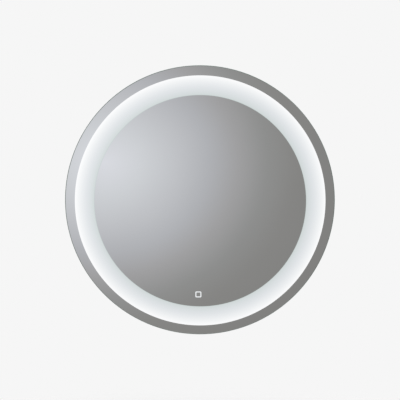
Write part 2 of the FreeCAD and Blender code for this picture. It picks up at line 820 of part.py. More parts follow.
# ---------------------------------------------------------------------------------------------
# Light
# ---------------------------------------------------------------------------------------------
def make_led_strip():
    """Flexible circuit stuck round the inside of the frame, open at the seam."""
    body = mirror_body("led_strip")
    section = sketch_on(body, "XY_Plane")
    rectangle(section, "strip_inside + strip_thickness / 2", "-led_level",
              "strip_thickness", "strip_width")
    revolve(body, section)
    gap = sketch_on(body, "XZ_Plane", "led_level + strip_width")
    rectangle(gap, "0", "-frame_radius", "strip_break", "2 * rear_flange")
    pocket(body, gap, "2 * strip_width")


def strip_parts(name, length, width, height, count, turn):
    """Surface-mounted parts round the strip, the first one turned past the X axis."""
    body = mirror_body(name)
    body.Placement = FreeCAD.Placement(Vector(0, 0, -value("centre_drop")),
                                       FreeCAD.Rotation(Vector(0, 1, 0), value(turn)))
    body.setExpression("Placement.Rotation.Angle", full(f"({turn}) * 1 deg"))
    sketch = sketch_on(body, "YZ_Plane", f"strip_inside - solder_gap - {height}")
    rectangle(sketch, "-led_level", "0", width, length)
    first = pad(body, sketch, height)
    polar(body, [first], count)


def make_led_parts():
    """LED packages in a regular ring, and a resistor between every third pair of them."""
    strip_parts("led_packages", "led_length", "led_width", "led_height", "led_count",
                "180 / led_count")
    strip_parts("led_resistors", "resistor_length", "resistor_width", "resistor_height",
                "resistor_count", "360 / led_count")


# ---------------------------------------------------------------------------------------------
# Driver
# ---------------------------------------------------------------------------------------------
def make_driver():
    """LED driver: tray with ears, lid, board and the parts on it, and two fixing screws."""
    centre = "-driver_left"
    drop = "-driver_drop"
    case = mirror_body("driver_case")
    tray(case, centre, drop, "driver_length", "driver_width", "panel_inside",
         "driver_height - driver_wall", "driver_wall", "driver_corner", True)
    for side in ("-", "+"):
        ear = sketch_on(case, "XZ_Plane", "panel_inside")
        middle = f"{centre} {side} (driver_length + driver_ear) / 2"
        rectangle(ear, middle, drop, "driver_ear", "driver_ear_width")
        pad(case, ear, "driver_wall")
    bores = sketch_on(case, "XZ_Plane", "panel_inside + driver_wall")
    for side in ("-", "+"):
        circle(bores, f"{centre} {side} (driver_length + driver_ear) / 2", drop,
               "screw_shank + thread_clearance")
    pocket(case, bores, "driver_wall")
    posts = sketch_on(case, "XZ_Plane", "panel_inside + driver_wall")
    for side in ("-", "+"):
        circle(posts, f"{centre} {side} driver_length / 3", drop, "2 * driver_wall")
    pad(case, posts, "driver_board_rise")
    ends = sketch_on(case, "YZ_Plane", f"{centre} - driver_length / 2 - 1")
    for side in ("-", "+"):
        circle(ends, "-lead_level", f"{drop} {side} lead_pitch / 2", "lead_hole")
    pocket(case, ends, "driver_length + 2", reverse=True)

    lid = board("driver_lid", centre, drop, "driver_length", "driver_width", "lid_seat",
                "driver_wall")
    round_depth_edges(lid, "driver_corner")
    lip = sketch_on(lid, "XZ_Plane", "lid_seat")
    clearance = "(2 * driver_wall + 2 * board_clearance)"
    for shrink in ("0", "2 * driver_wall"):
        rectangle(lip, centre, drop, f"driver_length - {clearance} - {shrink}",
                  f"driver_width - {clearance} - {shrink}")
    pad(lid, lip, "driver_wall / 2", reverse=True)

    board("driver_board", centre, drop,
          "driver_length - 2 * driver_wall - 2 * board_clearance",
          "driver_width - 2 * driver_wall - 2 * board_clearance", "driver_board_rear",
          "driver_board_thickness")

    coil = board("driver_transformer", centre, drop, "coil_length", "coil_width", "driver_parts",
                 "coil_height")
    waist = sketch_on(coil, "XZ_Plane", "driver_parts + coil_height")
    for side in ("-", "+"):
        rectangle(waist, centre, f"{drop} {side} (coil_width - coil_waist) / 2",
                  "coil_length / 2", "coil_waist")
    pocket(coil, waist, "coil_height")

    cans = mirror_body("driver_capacitors")
    row_start = f"{centre} + coil_length / 2 + 2 * capacitor_radius"
    edge = "0.15 * capacitor_radius"
    can = turned(cans, row_start, drop, [
        ("0", "driver_parts"),
        (f"capacitor_radius - {edge}", "driver_parts"),
        ("capacitor_radius", f"driver_parts + {edge}"),
        ("capacitor_radius", f"driver_parts + capacitor_height - {edge}"),
        (f"capacitor_radius - {edge}", "driver_parts + capacitor_height"),
        ("0", "driver_parts + capacitor_height"),
    ])
    row_of(cans, [can], "capacitor_pitch", "2")

    blocks = mirror_body("driver_terminals")
    reach = "(driver_length / 2 - driver_wall - 2 * board_clearance - clamp_block_length / 2)"
    drawn = sketch_on(blocks, "XZ_Plane", "driver_parts")
    for side in ("-", "+"):
        rectangle(drawn, f"{centre} {side} {reach}", drop, "clamp_block_length", "2 * lead_pitch")
    pad(blocks, drawn, "clamp_block_height")
    wire_holes = sketch_on(blocks, "YZ_Plane", f"{centre} - driver_length / 2")
    for side in ("-", "+"):
        circle(wire_holes, "-lead_level", f"{drop} {side} lead_pitch / 2", "lead_hole")
    pocket(blocks, wire_holes, "driver_length", reverse=True)

    screws = mirror_body("driver_screws")
    start = f"{centre} - (driver_length + driver_ear) / 2"
    screw = pan_screw(screws, start, drop, "stand_off")
    row_of(screws, [screw], "driver_length + driver_ear", "2")


# ---------------------------------------------------------------------------------------------
# Terminal box and supply entry
# ---------------------------------------------------------------------------------------------
def make_terminal_box():
    """Moulded box behind the panel, open to the rear opening, with two ears and a lead slot."""
    body = mirror_body("terminal_box")
    tray(body, "terminal_right", "terminal_rise", "box_width", "box_height", "panel_inside",
         "box_depth", "box_wall", "box_corner", False)
    for side in ("-", "+"):
        ear = sketch_on(body, "XZ_Plane", "panel_inside")
        middle = f"terminal_right {side} (box_width + box_ear) / 2"
        rectangle(ear, middle, "terminal_rise", "box_ear", "box_ear_width")
        pad(body, ear, "2 * box_wall")
    bores = sketch_on(body, "XZ_Plane", "panel_inside + 2 * box_wall")
    for side in ("-", "+"):
        circle(bores, f"terminal_right {side} (box_width + box_ear) / 2", "terminal_rise",
               "screw_shank + thread_clearance")
    pocket(body, bores, "2 * box_wall")
    slit = sketch_on(body, "XY_Plane", "terminal_rise - box_height / 2 - 1")
    rectangle(slit, "terminal_right", "-lead_level", "pole_count * pole_pitch",
              "3 * lead_radius")
    pocket(body, slit, "box_wall + 2", reverse=True)


def make_terminal_cover():
    """Steel cover over the opening, with the hole of the supply entry, and its two screws."""
    rear = "(stand_off - cover_metal)"
    cover = board("terminal_cover", "terminal_right", "terminal_rise", "cover_width",
                  "cover_height", rear, "cover_metal")
    round_depth_edges(cover, "cover_corner")
    holes = sketch_on(cover, "XZ_Plane", "stand_off")
    for side in ("-", "+"):
        circle(holes, f"terminal_right {side} (box_width + box_ear) / 2", "terminal_rise",
               "screw_shank + screw_clearance")
    circle(holes, "terminal_right", "terminal_rise + entry_rise", "entry_hole")
    pocket(cover, holes, "cover_metal")

    screws = mirror_body("terminal_cover_screws")
    start = "terminal_right - (box_width + box_ear) / 2"
    screw = pan_screw(screws, start, "terminal_rise", rear)
    row_of(screws, [screw], "box_width + box_ear", "2")


def make_entry_grommet():
    """Rubber grommet that lines the supply cable's hole in the cover."""
    body = mirror_body("entry_grommet")
    rear = "(stand_off - cover_metal)"
    waist = "entry_hole - entry_clearance"
    edge = "0.4 * entry_lip"
    turned(body, "terminal_right", "terminal_rise + entry_rise", [
        ("entry_bore", f"{rear} - entry_lip"),
        (f"entry_flange - {edge}", f"{rear} - entry_lip"),
        ("entry_flange", f"{rear} - entry_lip + {edge}"),
        ("entry_flange", rear),
        (waist, rear),
        (waist, "stand_off"),
        ("entry_flange", "stand_off"),
        (f"entry_flange - {edge}", "stand_off + entry_lip"),
        ("entry_bore", "stand_off + entry_lip"),
    ])


def make_terminal_block():
    """Moulded terminal strip with square lead entries and screw wells, and its brass screws."""
    rear = "(box_floor - block_depth)"
    body = board("terminal_block", "terminal_right", "terminal_rise",
                 "pole_count * pole_pitch + pole_pitch / 2", "block_height", rear, "block_depth")
    for side, reverse in (("-", True), ("+", False)):
        entry = sketch_on(body, "XY_Plane", f"terminal_rise {side} block_height / 2")
        rectangle(entry, "first_pole", "-lead_level", "pole_entry", "pole_entry")
        first = pocket(body, entry, "pole_entry_depth", reverse=reverse)
        row_of(body, [first], "pole_pitch", "pole_count")
    for side in ("-", "+"):
        well = sketch_on(body, "XZ_Plane", rear)
        circle(well, "first_pole", f"terminal_rise {side} block_height / 4",
               "pole_screw + thread_clearance")
        first = pocket(body, well, "block_depth / 4", reverse=True)
        row_of(body, [first], "pole_pitch", "pole_count")

    for side, name in (("-", "load_screws"), ("+", "supply_screws")):
        screws = mirror_body(name)
        level = f"terminal_rise {side} block_height / 4"
        drawn = sketch_on(screws, "XZ_Plane", f"{rear} + block_depth / 12")
        circle(drawn, "first_pole", level, "pole_screw")
        barrel = pad(screws, drawn, "block_depth / 6")
        cut = sketch_on(screws, "XZ_Plane", f"{rear} + block_depth / 12")
        rectangle(cut, "first_pole", level, "4 * pole_screw", "pole_screw / 4")
        slit = pocket(screws, cut, "block_depth / 18", reverse=True)
        row_of(screws, [barrel, slit], "pole_pitch", "pole_count")


def make_cord_clamp():
    """Arched clamp bar for the supply cable on the floor of the box, with its two screws."""
    middle = "(terminal_rise + clamp_rise)"
    rear = "(box_floor - clamp_height)"
    body = mirror_body("cord_clamp")
    side_view = sketch_on(body, "XY_Plane", f"{middle} - clamp_width / 2")
    left, right = "terminal_right - clamp_length / 2", "terminal_right + clamp_length / 2"
    arch_left, arch_right = "terminal_right - clamp_arch", "terminal_right + clamp_arch"
    outline(side_view, [
        (left, "-box_floor"), (left, f"-{rear}"), (right, f"-{rear}"),
        (right, "-box_floor"), (arch_right, "-box_floor"),
        (f"{arch_right} - clamp_arch / 2", f"-({rear} + clamp_height - clamp_thickness)"),
        (f"{arch_left} + clamp_arch / 2", f"-({rear} + clamp_height - clamp_thickness)"),
        (arch_left, "-box_floor"),
    ])
    pad(body, side_view, "clamp_width")
    bores = sketch_on(body, "XZ_Plane", "box_floor")
    for side in ("-", "+"):
        circle(bores, f"terminal_right {side} clamp_screw_pitch / 2", middle,
               "screw_shank + thread_clearance")
    pocket(body, bores, "clamp_height")
    screws = mirror_body("clamp_screws")
    screw = pan_screw(screws, "terminal_right - clamp_screw_pitch / 2", middle, rear,
                      "clamp_height")
    row_of(screws, [screw], "clamp_screw_pitch", "2")


def make_earth_stud():
    """Earth stud of the back panel with its tag, washer and two nuts."""
    at = ("earth_right", "-earth_drop")
    stud = mirror_body("earth_stud")
    edge = "0.25 * stud_radius"
    turned(stud, *at, [
        ("0", "stand_off - stud_radius"),
        ("0.7 * stud_head", "stand_off - stud_radius"),
        ("stud_head", "stand_off"),
        ("stud_radius", "stand_off"),
        ("stud_radius", f"panel_inside + stud_length - {edge}"),
        (f"stud_radius - {edge}", "panel_inside + stud_length"),
        ("0", "panel_inside + stud_length"),
    ])
    bore = "stud_radius + stud_clearance"

    tag = mirror_body("earth_tag")
    flat = sketch_on(tag, "XZ_Plane", "panel_inside")
    circle(flat, *at, "earth_tag_radius")
    circle(flat, *at, bore)
    pad(tag, flat, "earth_tag_metal")
    tail = sketch_on(tag, "XZ_Plane", "panel_inside")
    rectangle(tail, "earth_right + earth_tag_radius / 2 + earth_tag_length / 2 + stud_radius / 2",
              "-earth_drop", "earth_tag_length - earth_tag_radius", "2.4 * lead_radius")
    pad(tag, tail, "earth_tag_metal")

    washer = mirror_body("earth_washer")
    disc = sketch_on(washer, "XZ_Plane", "panel_inside + earth_tag_metal")
    circle(disc, *at, "washer_radius")
    circle(disc, *at, bore)
    pad(washer, disc, "washer_thickness")

    nuts = mirror_body("earth_nuts")
    corner = "nut_flat / sqrt(3)"
    hexagon = [(corner, "0"), (f"{corner} / 2", "nut_flat / 2"), (f"-{corner} / 2", "nut_flat / 2"),
               (f"-{corner}", "0"), (f"-{corner} / 2", "-nut_flat / 2"),
               (f"{corner} / 2", "-nut_flat / 2")]
    seat = "panel_inside + earth_tag_metal + washer_thickness"
    prism = sketch_on(nuts, "XZ_Plane", seat)
    outline(prism, [(f"earth_right + {across}", f"-earth_drop + {up}") for across, up in hexagon])
    circle(prism, *at, bore)
    first = pad(nuts, prism, "nut_height")
    row = row_of(nuts, [first], "nut_height + thread_clearance", "2", "Y_Axis")
    row.Reversed = True
    doc.recompute()


# ---------------------------------------------------------------------------------------------
# Internal leads and their clips
# ---------------------------------------------------------------------------------------------
def lead_solid(points, radius, bend):
    """Sweep a lead along straight runs that are joined by tangent arcs.

    Its section is eight-sided, which keeps the faces of its many bends few.
    """
    corners = [Vector(x, -depth, z) for x, depth, z in points]
    edges = []
    start = corners[0]
    for before, corner, after in zip(corners, corners[1:], corners[2:]):
        arriving = (corner - before).normalize()
        leaving = (after - corner).normalize()
        turn = arriving.getAngle(leaving)
        setback = bend * math.tan(turn / 2)
        arc_start = corner - arriving * setback
        arc_end = corner + leaving * setback
        inward = (leaving - arriving).normalize()
        middle = corner + inward * (bend / math.cos(turn / 2) - bend)
        edges.append(Part.LineSegment(start, arc_start).toShape())
        edges.append(Part.Arc(arc_start, middle, arc_end).toShape())
        start = arc_end
    edges.append(Part.LineSegment(start, corners[-1]).toShape())
    path = Part.Wire(edges)
    ring = Part.makeCircle(radius, corners[0], corners[1] - corners[0])
    section = Part.makePolygon(ring.discretize(9))
    solid = path.makePipeShell([section], True, False)
    expected = 2 * math.sqrt(2) * radius ** 2 * path.Length
    print(f"lead: length {path.Length:.0f}, bend radius {bend:.0f}, "
          f"volume ratio {solid.Volume / expected:.3f}")
    return solid


def lead_group(name, routes, radius):
    """One node of leads; each route is a list of (x, depth, z) about the centre of the glass."""
    leads = doc.addObject("Part::Feature", name)
    bend = value("lead_bend")
    leads.Shape = Part.makeCompound([lead_solid(points, value(radius), bend) for points in routes])
    leads.Placement = FreeCAD.Placement(Vector(0, 0, -value("centre_drop")), FreeCAD.Rotation())
    return leads


def make_leads():
    """Internal leads: supply to driver and heating film, driver to sensor, sensor to LED strip."""
    level = value("lead_level")
    pitch = value("pole_pitch")
    first_pole = value("first_pole")
    in_block = value("terminal_rise - block_height / 2 + pole_entry_depth - 1")
    driver_right = value("driver_length / 2 - driver_left - driver_wall - clamp_block_length / 2")
    driver_left = value("-driver_length / 2 - driver_left + driver_wall + clamp_block_length / 2")
    driver_z = [value("-driver_drop + lead_pitch / 2"), value("-driver_drop - lead_pitch / 2")]
    lead_group("mains_leads", [
        [(first_pole + index * pitch, level, in_block),
         (first_pole + index * pitch, level, driver_z[index]),
         (driver_right, level, driver_z[index])]
        for index in range(2)], "lead_radius")

    tag_end = value("earth_right + earth_tag_radius / 2 + earth_tag_length")
    tag_level = value("panel_inside + earth_tag_metal + lead_radius + thread_clearance")
    earth_z = value("-earth_drop")
    lead_group("earth_lead", [
        [(first_pole + 2 * pitch, level, in_block),
         (first_pole + 2 * pitch, level, earth_z),
         (tag_end + value("tag_lead_slope"), tag_level, earth_z),
         (tag_end - value("tag_grip"), tag_level, earth_z)]], "lead_radius")

    lug_top = value("-lug_drop + lug_height / 2 + lead_gap")
    slope_foot = lug_top + value("lug_lead_straight")
    lug_level = value("glass_back - demister_glue - demister_thickness - lug_thickness / 2")
    lead_group("demister_leads", [
        [(first_pole + index * pitch, level, in_block),
         (first_pole + index * pitch, level, slope_foot + value("lug_lead_slope")),
         (first_pole + index * pitch, lug_level, slope_foot),
         (first_pole + index * pitch, lug_level, lug_top)]
        for index in (3, 4)], "lead_radius")

    sensor_left = value("-icon_left - sensor_width / 2 - lead_gap")
    sensor_level = value("(sensor_rear + sensor_front) / 2")
    clip_x = [value("-clip_left - clip_pitch / 2"), value("-clip_left + clip_pitch / 2")]
    sensor_rows = [value("-icon_drop - sensor_lead_pitch / 2"),
                   value("-icon_drop + sensor_lead_pitch / 2")]
    run_foot = sensor_left - value("sensor_lead_run")
    lead_group("touch_leads", [
        [(driver_left, level, driver_z[index]),
         (clip_x[index], level, driver_z[index]),
         (clip_x[index], level, sensor_rows[index] + value("sensor_lead_rise")),
         (run_foot, sensor_level, sensor_rows[index]),
         (sensor_left, sensor_level, sensor_rows[index])]
        for index in range(2)], "thin_lead_radius")

    strip_end = value("-sqrt(strip_inside ^ 2 - (strip_break / 2 + 1) ^ 2) + lead_gap")
    sensor_low = value("-icon_drop - sensor_height / 2 + sensor_wall + 2")
    exit_level = value("sensor_board_rear - sensor_wall")
    exit_x = [value("icon_left"), value("icon_left - lead_pitch / 2")]
    low_turn = value("-icon_drop - strip_lead_straight")
    last_turn = low_turn - value("strip_lead_slope")
    strip_rows = [value("led_level - strip_lead_pitch / 2"),
                  value("led_level + strip_lead_pitch / 2")]
    pad_x = value("strip_break / 2 + 1")
    lead_group("led_leads", [
        [(exit_x[index], exit_level, sensor_low),
         (exit_x[index], exit_level, low_turn),
         (pad_x, strip_rows[index], last_turn),
         (pad_x, strip_rows[index], strip_end)]
        for index in range(2)], "thin_lead_radius")


def make_lead_clips():
    """Adhesive clips on the back panel that carry the leads across the casing."""
    body = mirror_body("lead_clips")
    depth = "lead_level - panel_inside + 2 * clip_wall"
    places = [("first_pole + pole_pitch / 2", "-driver_drop / 2", "pole_pitch", "lead_radius"),
              ("-clip_left", "-clip_drop", "clip_pitch", "thin_lead_radius")]
    for across, up, pitch, lead in places:
        post = sketch_on(body, "XZ_Plane", "panel_inside")
        rectangle(post, across, up, f"{pitch} + 2 * {lead} + 4 * clip_wall", "clip_width")
        pad(body, post, depth)
        bores = sketch_on(body, "XY_Plane", f"{up} + clip_width")
        for side in ("-", "+"):
            circle(bores, f"{across} {side} ({pitch}) / 2", "-lead_level",
                   f"{lead} + thread_clearance")
        pocket(body, bores, "2 * clip_width")


# ---------------------------------------------------------------------------------------------
# Assembly and export
# ---------------------------------------------------------------------------------------------
make_mirror_pane()
make_bonding_tape()
make_demister_pad()
make_demister_lug()
make_sensor()
make_frame_ring()
make_splice()
make_back_panel()
make_panel_screws()
make_bumpers()
make_wall_rail()
make_mirror_rail()
make_rail_rivets()
make_led_strip()
make_led_parts()
make_driver()
make_terminal_box()
make_terminal_cover()
make_entry_grommet()
make_terminal_block()
make_cord_clamp()
make_earth_stud()
make_leads()
make_lead_clips()
doc.recompute()

for item in doc.Objects:
    if "Invalid" in item.State or "Error" in item.State:
        raise ValueError(f"{item.Name} is {item.State}")

pieces = [item for item in doc.Objects
          if item.TypeId in ("PartDesign::Body", "Part::Feature") and item.Shape.Solids]
for piece in pieces:
    if piece.Shape.isNull() or not piece.Shape.isValid():
        raise ValueError(f"{piece.Label} has no valid shape")
    piece.Shape.exportStep(f"parts/{piece.Label}.step")
print(f"{len(pieces)} pieces written")
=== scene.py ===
"""Looks of a round lighted bathroom mirror, in the order in which it is put together.

Metres, +Z up, the glass faces -Y and the wall is the plane y = 0. Sizes are written in millimetres;
a depth is a distance from the wall, so the depth d is y = -d / 1000.
"""

import bmesh
import bpy
import numpy as np
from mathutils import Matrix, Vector


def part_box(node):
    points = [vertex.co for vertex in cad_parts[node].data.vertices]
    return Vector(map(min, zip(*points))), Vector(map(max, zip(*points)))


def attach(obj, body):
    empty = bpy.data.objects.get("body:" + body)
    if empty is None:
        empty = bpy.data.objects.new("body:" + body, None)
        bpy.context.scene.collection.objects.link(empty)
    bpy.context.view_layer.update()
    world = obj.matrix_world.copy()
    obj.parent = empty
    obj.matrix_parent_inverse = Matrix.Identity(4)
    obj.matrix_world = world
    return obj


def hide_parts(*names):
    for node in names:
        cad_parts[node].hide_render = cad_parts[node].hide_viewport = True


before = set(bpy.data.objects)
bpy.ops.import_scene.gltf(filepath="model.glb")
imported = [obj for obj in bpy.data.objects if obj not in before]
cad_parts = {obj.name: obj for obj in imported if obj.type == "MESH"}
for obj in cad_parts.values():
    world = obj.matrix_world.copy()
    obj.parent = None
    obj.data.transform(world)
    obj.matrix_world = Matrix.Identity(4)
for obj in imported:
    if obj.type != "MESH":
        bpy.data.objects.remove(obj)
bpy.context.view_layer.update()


# ------------------------------
# Frame ring. An aluminium extrusion, rolled into a hoop round a former, butted at the bottom and
# then satin anodised. Its front flange carries the glass, its rear flange the back panel, and the
# channel between its two ribs the LED strip.
# ------------------------------
GLASS_CENTRE = (0.0, -160.0)      # x and z of the middle of the glass
FRAME_RADIUS = 291.0
FRAME_WALL = 1.4
FRAME_INSIDE = FRAME_RADIUS - FRAME_WALL
FRAME_REAR, FRAME_FRONT = 8.6, 34.2
FRONT_FLANGE, REAR_FLANGE = 281.0, 277.0    # inner radii of the flanges for glass and panel
SEAT = 9.6                        # depth at which the panel lies against the rear flange
SEAM_GAP = 0.3
SMOOTH_LIMIT = np.radians(32)     # faces that meet at less than this are shaded as one surface


def linear(colour):
    """An sRGB colour written as six hex digits, as the linear RGBA that a shader takes."""
    channels = np.array([int(colour[at:at + 2], 16) for at in (0, 2, 4)]) / 255
    light = ((channels + 0.055) / 1.055) ** 2.4
    return (*np.where(channels <= 0.04045, channels / 12.92, light), 1.0)


def add(tree, kind, inputs=(), stops=(), **settings):
    """Adds one node: its settings, its inputs as plain values or as sockets to be joined to them,
    and where it is a ramp its stops as (place, colour)."""
    made = tree.nodes.new("ShaderNode" + kind)
    for name, setting in settings.items():
        setattr(made, name, setting)
    for place, given in dict(inputs).items():
        if isinstance(given, bpy.types.NodeSocket):
            tree.links.new(given, made.inputs[place])
        else:
            made.inputs[place].default_value = given
    if stops:
        ramp = made.color_ramp
        ramp.elements.remove(ramp.elements[1])
        ramp.elements[0].position = stops[0][0]
        ramp.elements[0].color = linear(stops[0][1])
        for place, colour in stops[1:]:
            ramp.elements.new(place).color = linear(colour)
    return made


def material(name, **plain):
    """A material with one Principled shader. Plain values, the same all over the surface, are set
    on the shader's own sockets: an underscore in a name stands for a blank."""
    made = bpy.data.materials.new(name)
    made.use_nodes = True
    shader = made.node_tree.nodes["Principled BSDF"]
    for socket, given in plain.items():
        shader.inputs[socket.replace("_", " ")].default_value = given
    return made, made.node_tree, shader


def mottle(tree, size, dark, pale, detail=3.0, vector=None):
    """Colour that drifts between two shades over patches of the given size in millimetres."""
    place = vector or add(tree, "TexCoord").outputs["Object"]
    noise = add(tree, "TexNoise", {"Vector": place, "Scale": 1000 / size, "Detail": detail})
    return add(tree, "ValToRGB", {"Fac": noise.outputs["Fac"]},
               stops=[(0.3, dark), (0.7, pale)]).outputs["Color"]


def gloss(tree, shader, size, smooth, rough, vector=None):
    """Roughness that drifts between two values over patches of the given size in millimetres."""
    place = vector or add(tree, "TexCoord").outputs["Object"]
    noise = add(tree, "TexNoise", {"Vector": place, "Scale": 1000 / size, "Detail": 4.0})
    spread = add(tree, "MapRange", {"Value": noise.outputs["Fac"], "From Min": 0.3,
                                    "From Max": 0.7, "To Min": smooth, "To Max": rough})
    tree.links.new(spread.outputs["Result"], shader.inputs["Roughness"])


def relief(tree, shader, size, height, vector=None, strength=0.6):
    """Bumps of the given width and height in millimetres."""
    place = vector or add(tree, "TexCoord").outputs["Object"]
    noise = add(tree, "TexNoise", {"Vector": place, "Scale": 1000 / size, "Detail": 2.0})
    bump = add(tree, "Bump", {"Height": noise.outputs["Fac"], "Strength": strength,
                              "Distance": height / 1000})
    tree.links.new(bump.outputs["Normal"], shader.inputs["Normal"])


def rounded(corners, radius, steps=4):
    """A closed outline with its corners rounded: each corner becomes a curve that leaves one side
    at the radius from the corner and joins the next at the same distance, its points weighted
    (1-t)^2, 2t(1-t) and t^2."""
    corners = np.asarray(corners, float)
    back = np.roll(corners, 1, 0) - corners
    ahead = np.roll(corners, -1, 0) - corners
    lengths = [np.linalg.norm(side, axis=1) for side in (back, ahead)]
    reach = np.minimum(radius, 0.45 * np.minimum(*lengths))[:, None]
    start = corners + back / lengths[0][:, None] * reach
    end = corners + ahead / lengths[1][:, None] * reach
    t = np.linspace(0, 1, steps + 1)[None, :, None]
    curve = ((1 - t) ** 2 * start[:, None] + 2 * t * (1 - t) * corners[:, None]
             + t ** 2 * end[:, None])
    return curve.reshape(-1, 2)


def closed(line):
    """A line of points with its first point added at its end."""
    return np.concatenate([line, line[:1]])


def turned(profile, middle=GLASS_CENTRE, angles=None, columns=512):
    """A profile of (radius, depth) carried round a line along the depth: x = middle + radius cos a,
    y = -depth, z = middle + radius sin a."""
    if angles is None:
        angles = np.linspace(0, 2 * np.pi, columns + 1)
    radius, depth = np.asarray(profile, float).T[:, :, None]
    return np.stack([middle[0] + radius * np.cos(angles), -depth + 0 * angles,
                     middle[1] + radius * np.sin(angles)], -1)


def skin(name, grids, finishes, zones=None, flat_ends=()):
    """A mesh from grids of points in millimetres: neighbours are joined by four-sided faces, then
    doubled points along seams and at poles are welded and the faces turned outwards. A zone is the
    number of a row's finish; flat ends are closed outlines that each become one face."""
    points, faces, marks, first = [], [], [], 0
    for grid in grids:
        rows, columns = grid.shape[:2]
        index = first + np.arange(rows * columns).reshape(rows, columns)
        faces.append(np.stack([index[:-1, :-1], index[:-1, 1:], index[1:, 1:], index[1:, :-1]],
                              -1).reshape(-1, 4))
        row_marks = np.zeros(rows - 1, int) if zones is None else np.asarray(zones)
        marks.append(np.repeat(row_marks, columns - 1))
        points.append(grid.reshape(-1, 3))
        first += rows * columns
    faces = np.concatenate(faces).tolist()
    marks = np.concatenate(marks).tolist()
    for end in flat_ends:
        faces.append(list(range(first, first + len(end))))
        marks.append(0)
        points.append(end)
        first += len(end)
    mesh = bpy.data.meshes.new(name)
    mesh.from_pydata((np.concatenate(points) / 1000).tolist(), [], faces)
    for finish in finishes:
        mesh.materials.append(finish)
    mesh.polygons.foreach_set("material_index", marks)
    shell = bmesh.new()
    shell.from_mesh(mesh)
    bmesh.ops.remove_doubles(shell, verts=shell.verts, dist=2e-6)
    bmesh.ops.dissolve_degenerate(shell, edges=shell.edges, dist=1e-7)
    bmesh.ops.recalc_face_normals(shell, faces=shell.faces)
    shell.to_mesh(mesh)
    shell.free()
    mesh.shade_smooth()
    mesh.set_sharp_from_angle(angle=SMOOTH_LIMIT)
    made = bpy.data.objects.new(name, mesh)
    bpy.context.collection.objects.link(made)
    return made


def fit(made, body, nodes):
    """The piece moves with the body and stands for the CAD nodes."""
    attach(made, body)
    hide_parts(*nodes)
    return made


def dress(finish, *nodes):
    """Gives CAD nodes that keep their own shape a material."""
    for node in nodes:
        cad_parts[node].data.materials.clear()
        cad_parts[node].data.materials.append(finish)


def from_line(tree, place, middle):
    """How far a place is, in metres, from a line along the depth: the length of what is left when
    the line's middle is taken away and the depth is set to zero."""
    off_line = add(tree, "VectorMath", {0: place, 1: (middle[0] / 1000, 0, middle[1] / 1000)},
                   operation="SUBTRACT")
    in_plane = add(tree, "VectorMath", {0: off_line.outputs["Vector"], 1: (1, 0, 1)},
                   operation="MULTIPLY")
    return add(tree, "VectorMath", {0: in_plane.outputs["Vector"]},
               operation="LENGTH").outputs["Value"]


# Satin anodised aluminium: the die leaves fine lines along the extrusion, so round the hoop they
# keep one radius and one depth. The eye sees a soft streaked sheen. Real lines are about 0.1 mm
# apart and are drawn 0.9 mm apart so that they show.
satin_aluminium, tree, shader = material("satin_anodised_aluminium", Metallic=1.0,
                                         Roughness=0.44)
place = add(tree, "TexCoord").outputs["Object"]
across = add(tree, "SeparateXYZ", {"Vector": place})
die_lines = add(tree, "CombineXYZ", {"X": from_line(tree, place, GLASS_CENTRE),
                                     "Y": across.outputs["Y"]}).outputs["Vector"]
tree.links.new(mottle(tree, 0.9, "ABAEB1", "BFC2C4", vector=die_lines),
               shader.inputs["Base Color"])
gloss(tree, shader, 0.9, 0.38, 0.5, vector=die_lines)
relief(tree, shader, 0.9, 0.02, vector=die_lines)

LED_LEVEL = 21.9                  # depth of the middle of the LED channel
CHANNEL = 5.2                     # half the channel between the ribs
RIB, FLANGE, CORNER = 1.2, 1.4, 0.7    # their thicknesses, and the cut of the front corner
RIB_RADIUS = FRAME_INSIDE - 2.2
section = [
    (FRAME_RADIUS, FRAME_REAR), (FRAME_RADIUS, FRAME_FRONT - CORNER),
    (FRAME_RADIUS - CORNER, FRAME_FRONT), (FRONT_FLANGE, FRAME_FRONT),
    (FRONT_FLANGE, FRAME_FRONT - FLANGE), (FRAME_INSIDE, FRAME_FRONT - FLANGE),
    (FRAME_INSIDE, LED_LEVEL + CHANNEL + RIB),
    (RIB_RADIUS, LED_LEVEL + CHANNEL + RIB), (RIB_RADIUS, LED_LEVEL + CHANNEL),
    (FRAME_INSIDE, LED_LEVEL + CHANNEL), (FRAME_INSIDE, LED_LEVEL - CHANNEL),
    (RIB_RADIUS, LED_LEVEL - CHANNEL), (RIB_RADIUS, LED_LEVEL - CHANNEL - RIB),
    (FRAME_INSIDE, LED_LEVEL - CHANNEL - RIB), (FRAME_INSIDE, SEAT + FLANGE),
    (REAR_FLANGE, SEAT + FLANGE), (REAR_FLANGE, SEAT), (FRAME_INSIDE, SEAT),
    (FRAME_INSIDE, FRAME_REAR),
]
seam_angle = SEAM_GAP / 2 / FRAME_RADIUS
round_hoop = np.linspace(-np.pi / 2 + seam_angle, 1.5 * np.pi - seam_angle, 513)
hoop = turned(closed(rounded(section, 0.25, steps=3)), angles=round_hoop)
frame_hoop = fit(skin("rolled_frame_hoop", [hoop], [satin_aluminium],
                      flat_ends=[hoop[:-1, 0], hoop[:-1, -1]]),
                 "mirror", ["frame_ring"])


def cut(made, tools):
    """Takes the tools' shapes, closed shells in one mesh, out of the piece."""
    hole = made.modifiers.new("holes", "BOOLEAN")
    hole.operation = "DIFFERENCE"
    hole.solver = "EXACT"
    hole.object = tools
    finished = bpy.data.meshes.new_from_object(
        made.evaluated_get(bpy.context.evaluated_depsgraph_get()))
    made.modifiers.clear()
    made.data = finished
    finished.shade_smooth()
    finished.set_sharp_from_angle(angle=SMOOTH_LIMIT)
    bpy.data.objects.remove(tools)
    return made


def rod(middle, radius, start, end, columns=48):
    """A closed cylinder along the depth, for cutting a hole."""
    return turned([(0, start), (radius, start), (radius, end), (0, end)], middle, columns=columns)


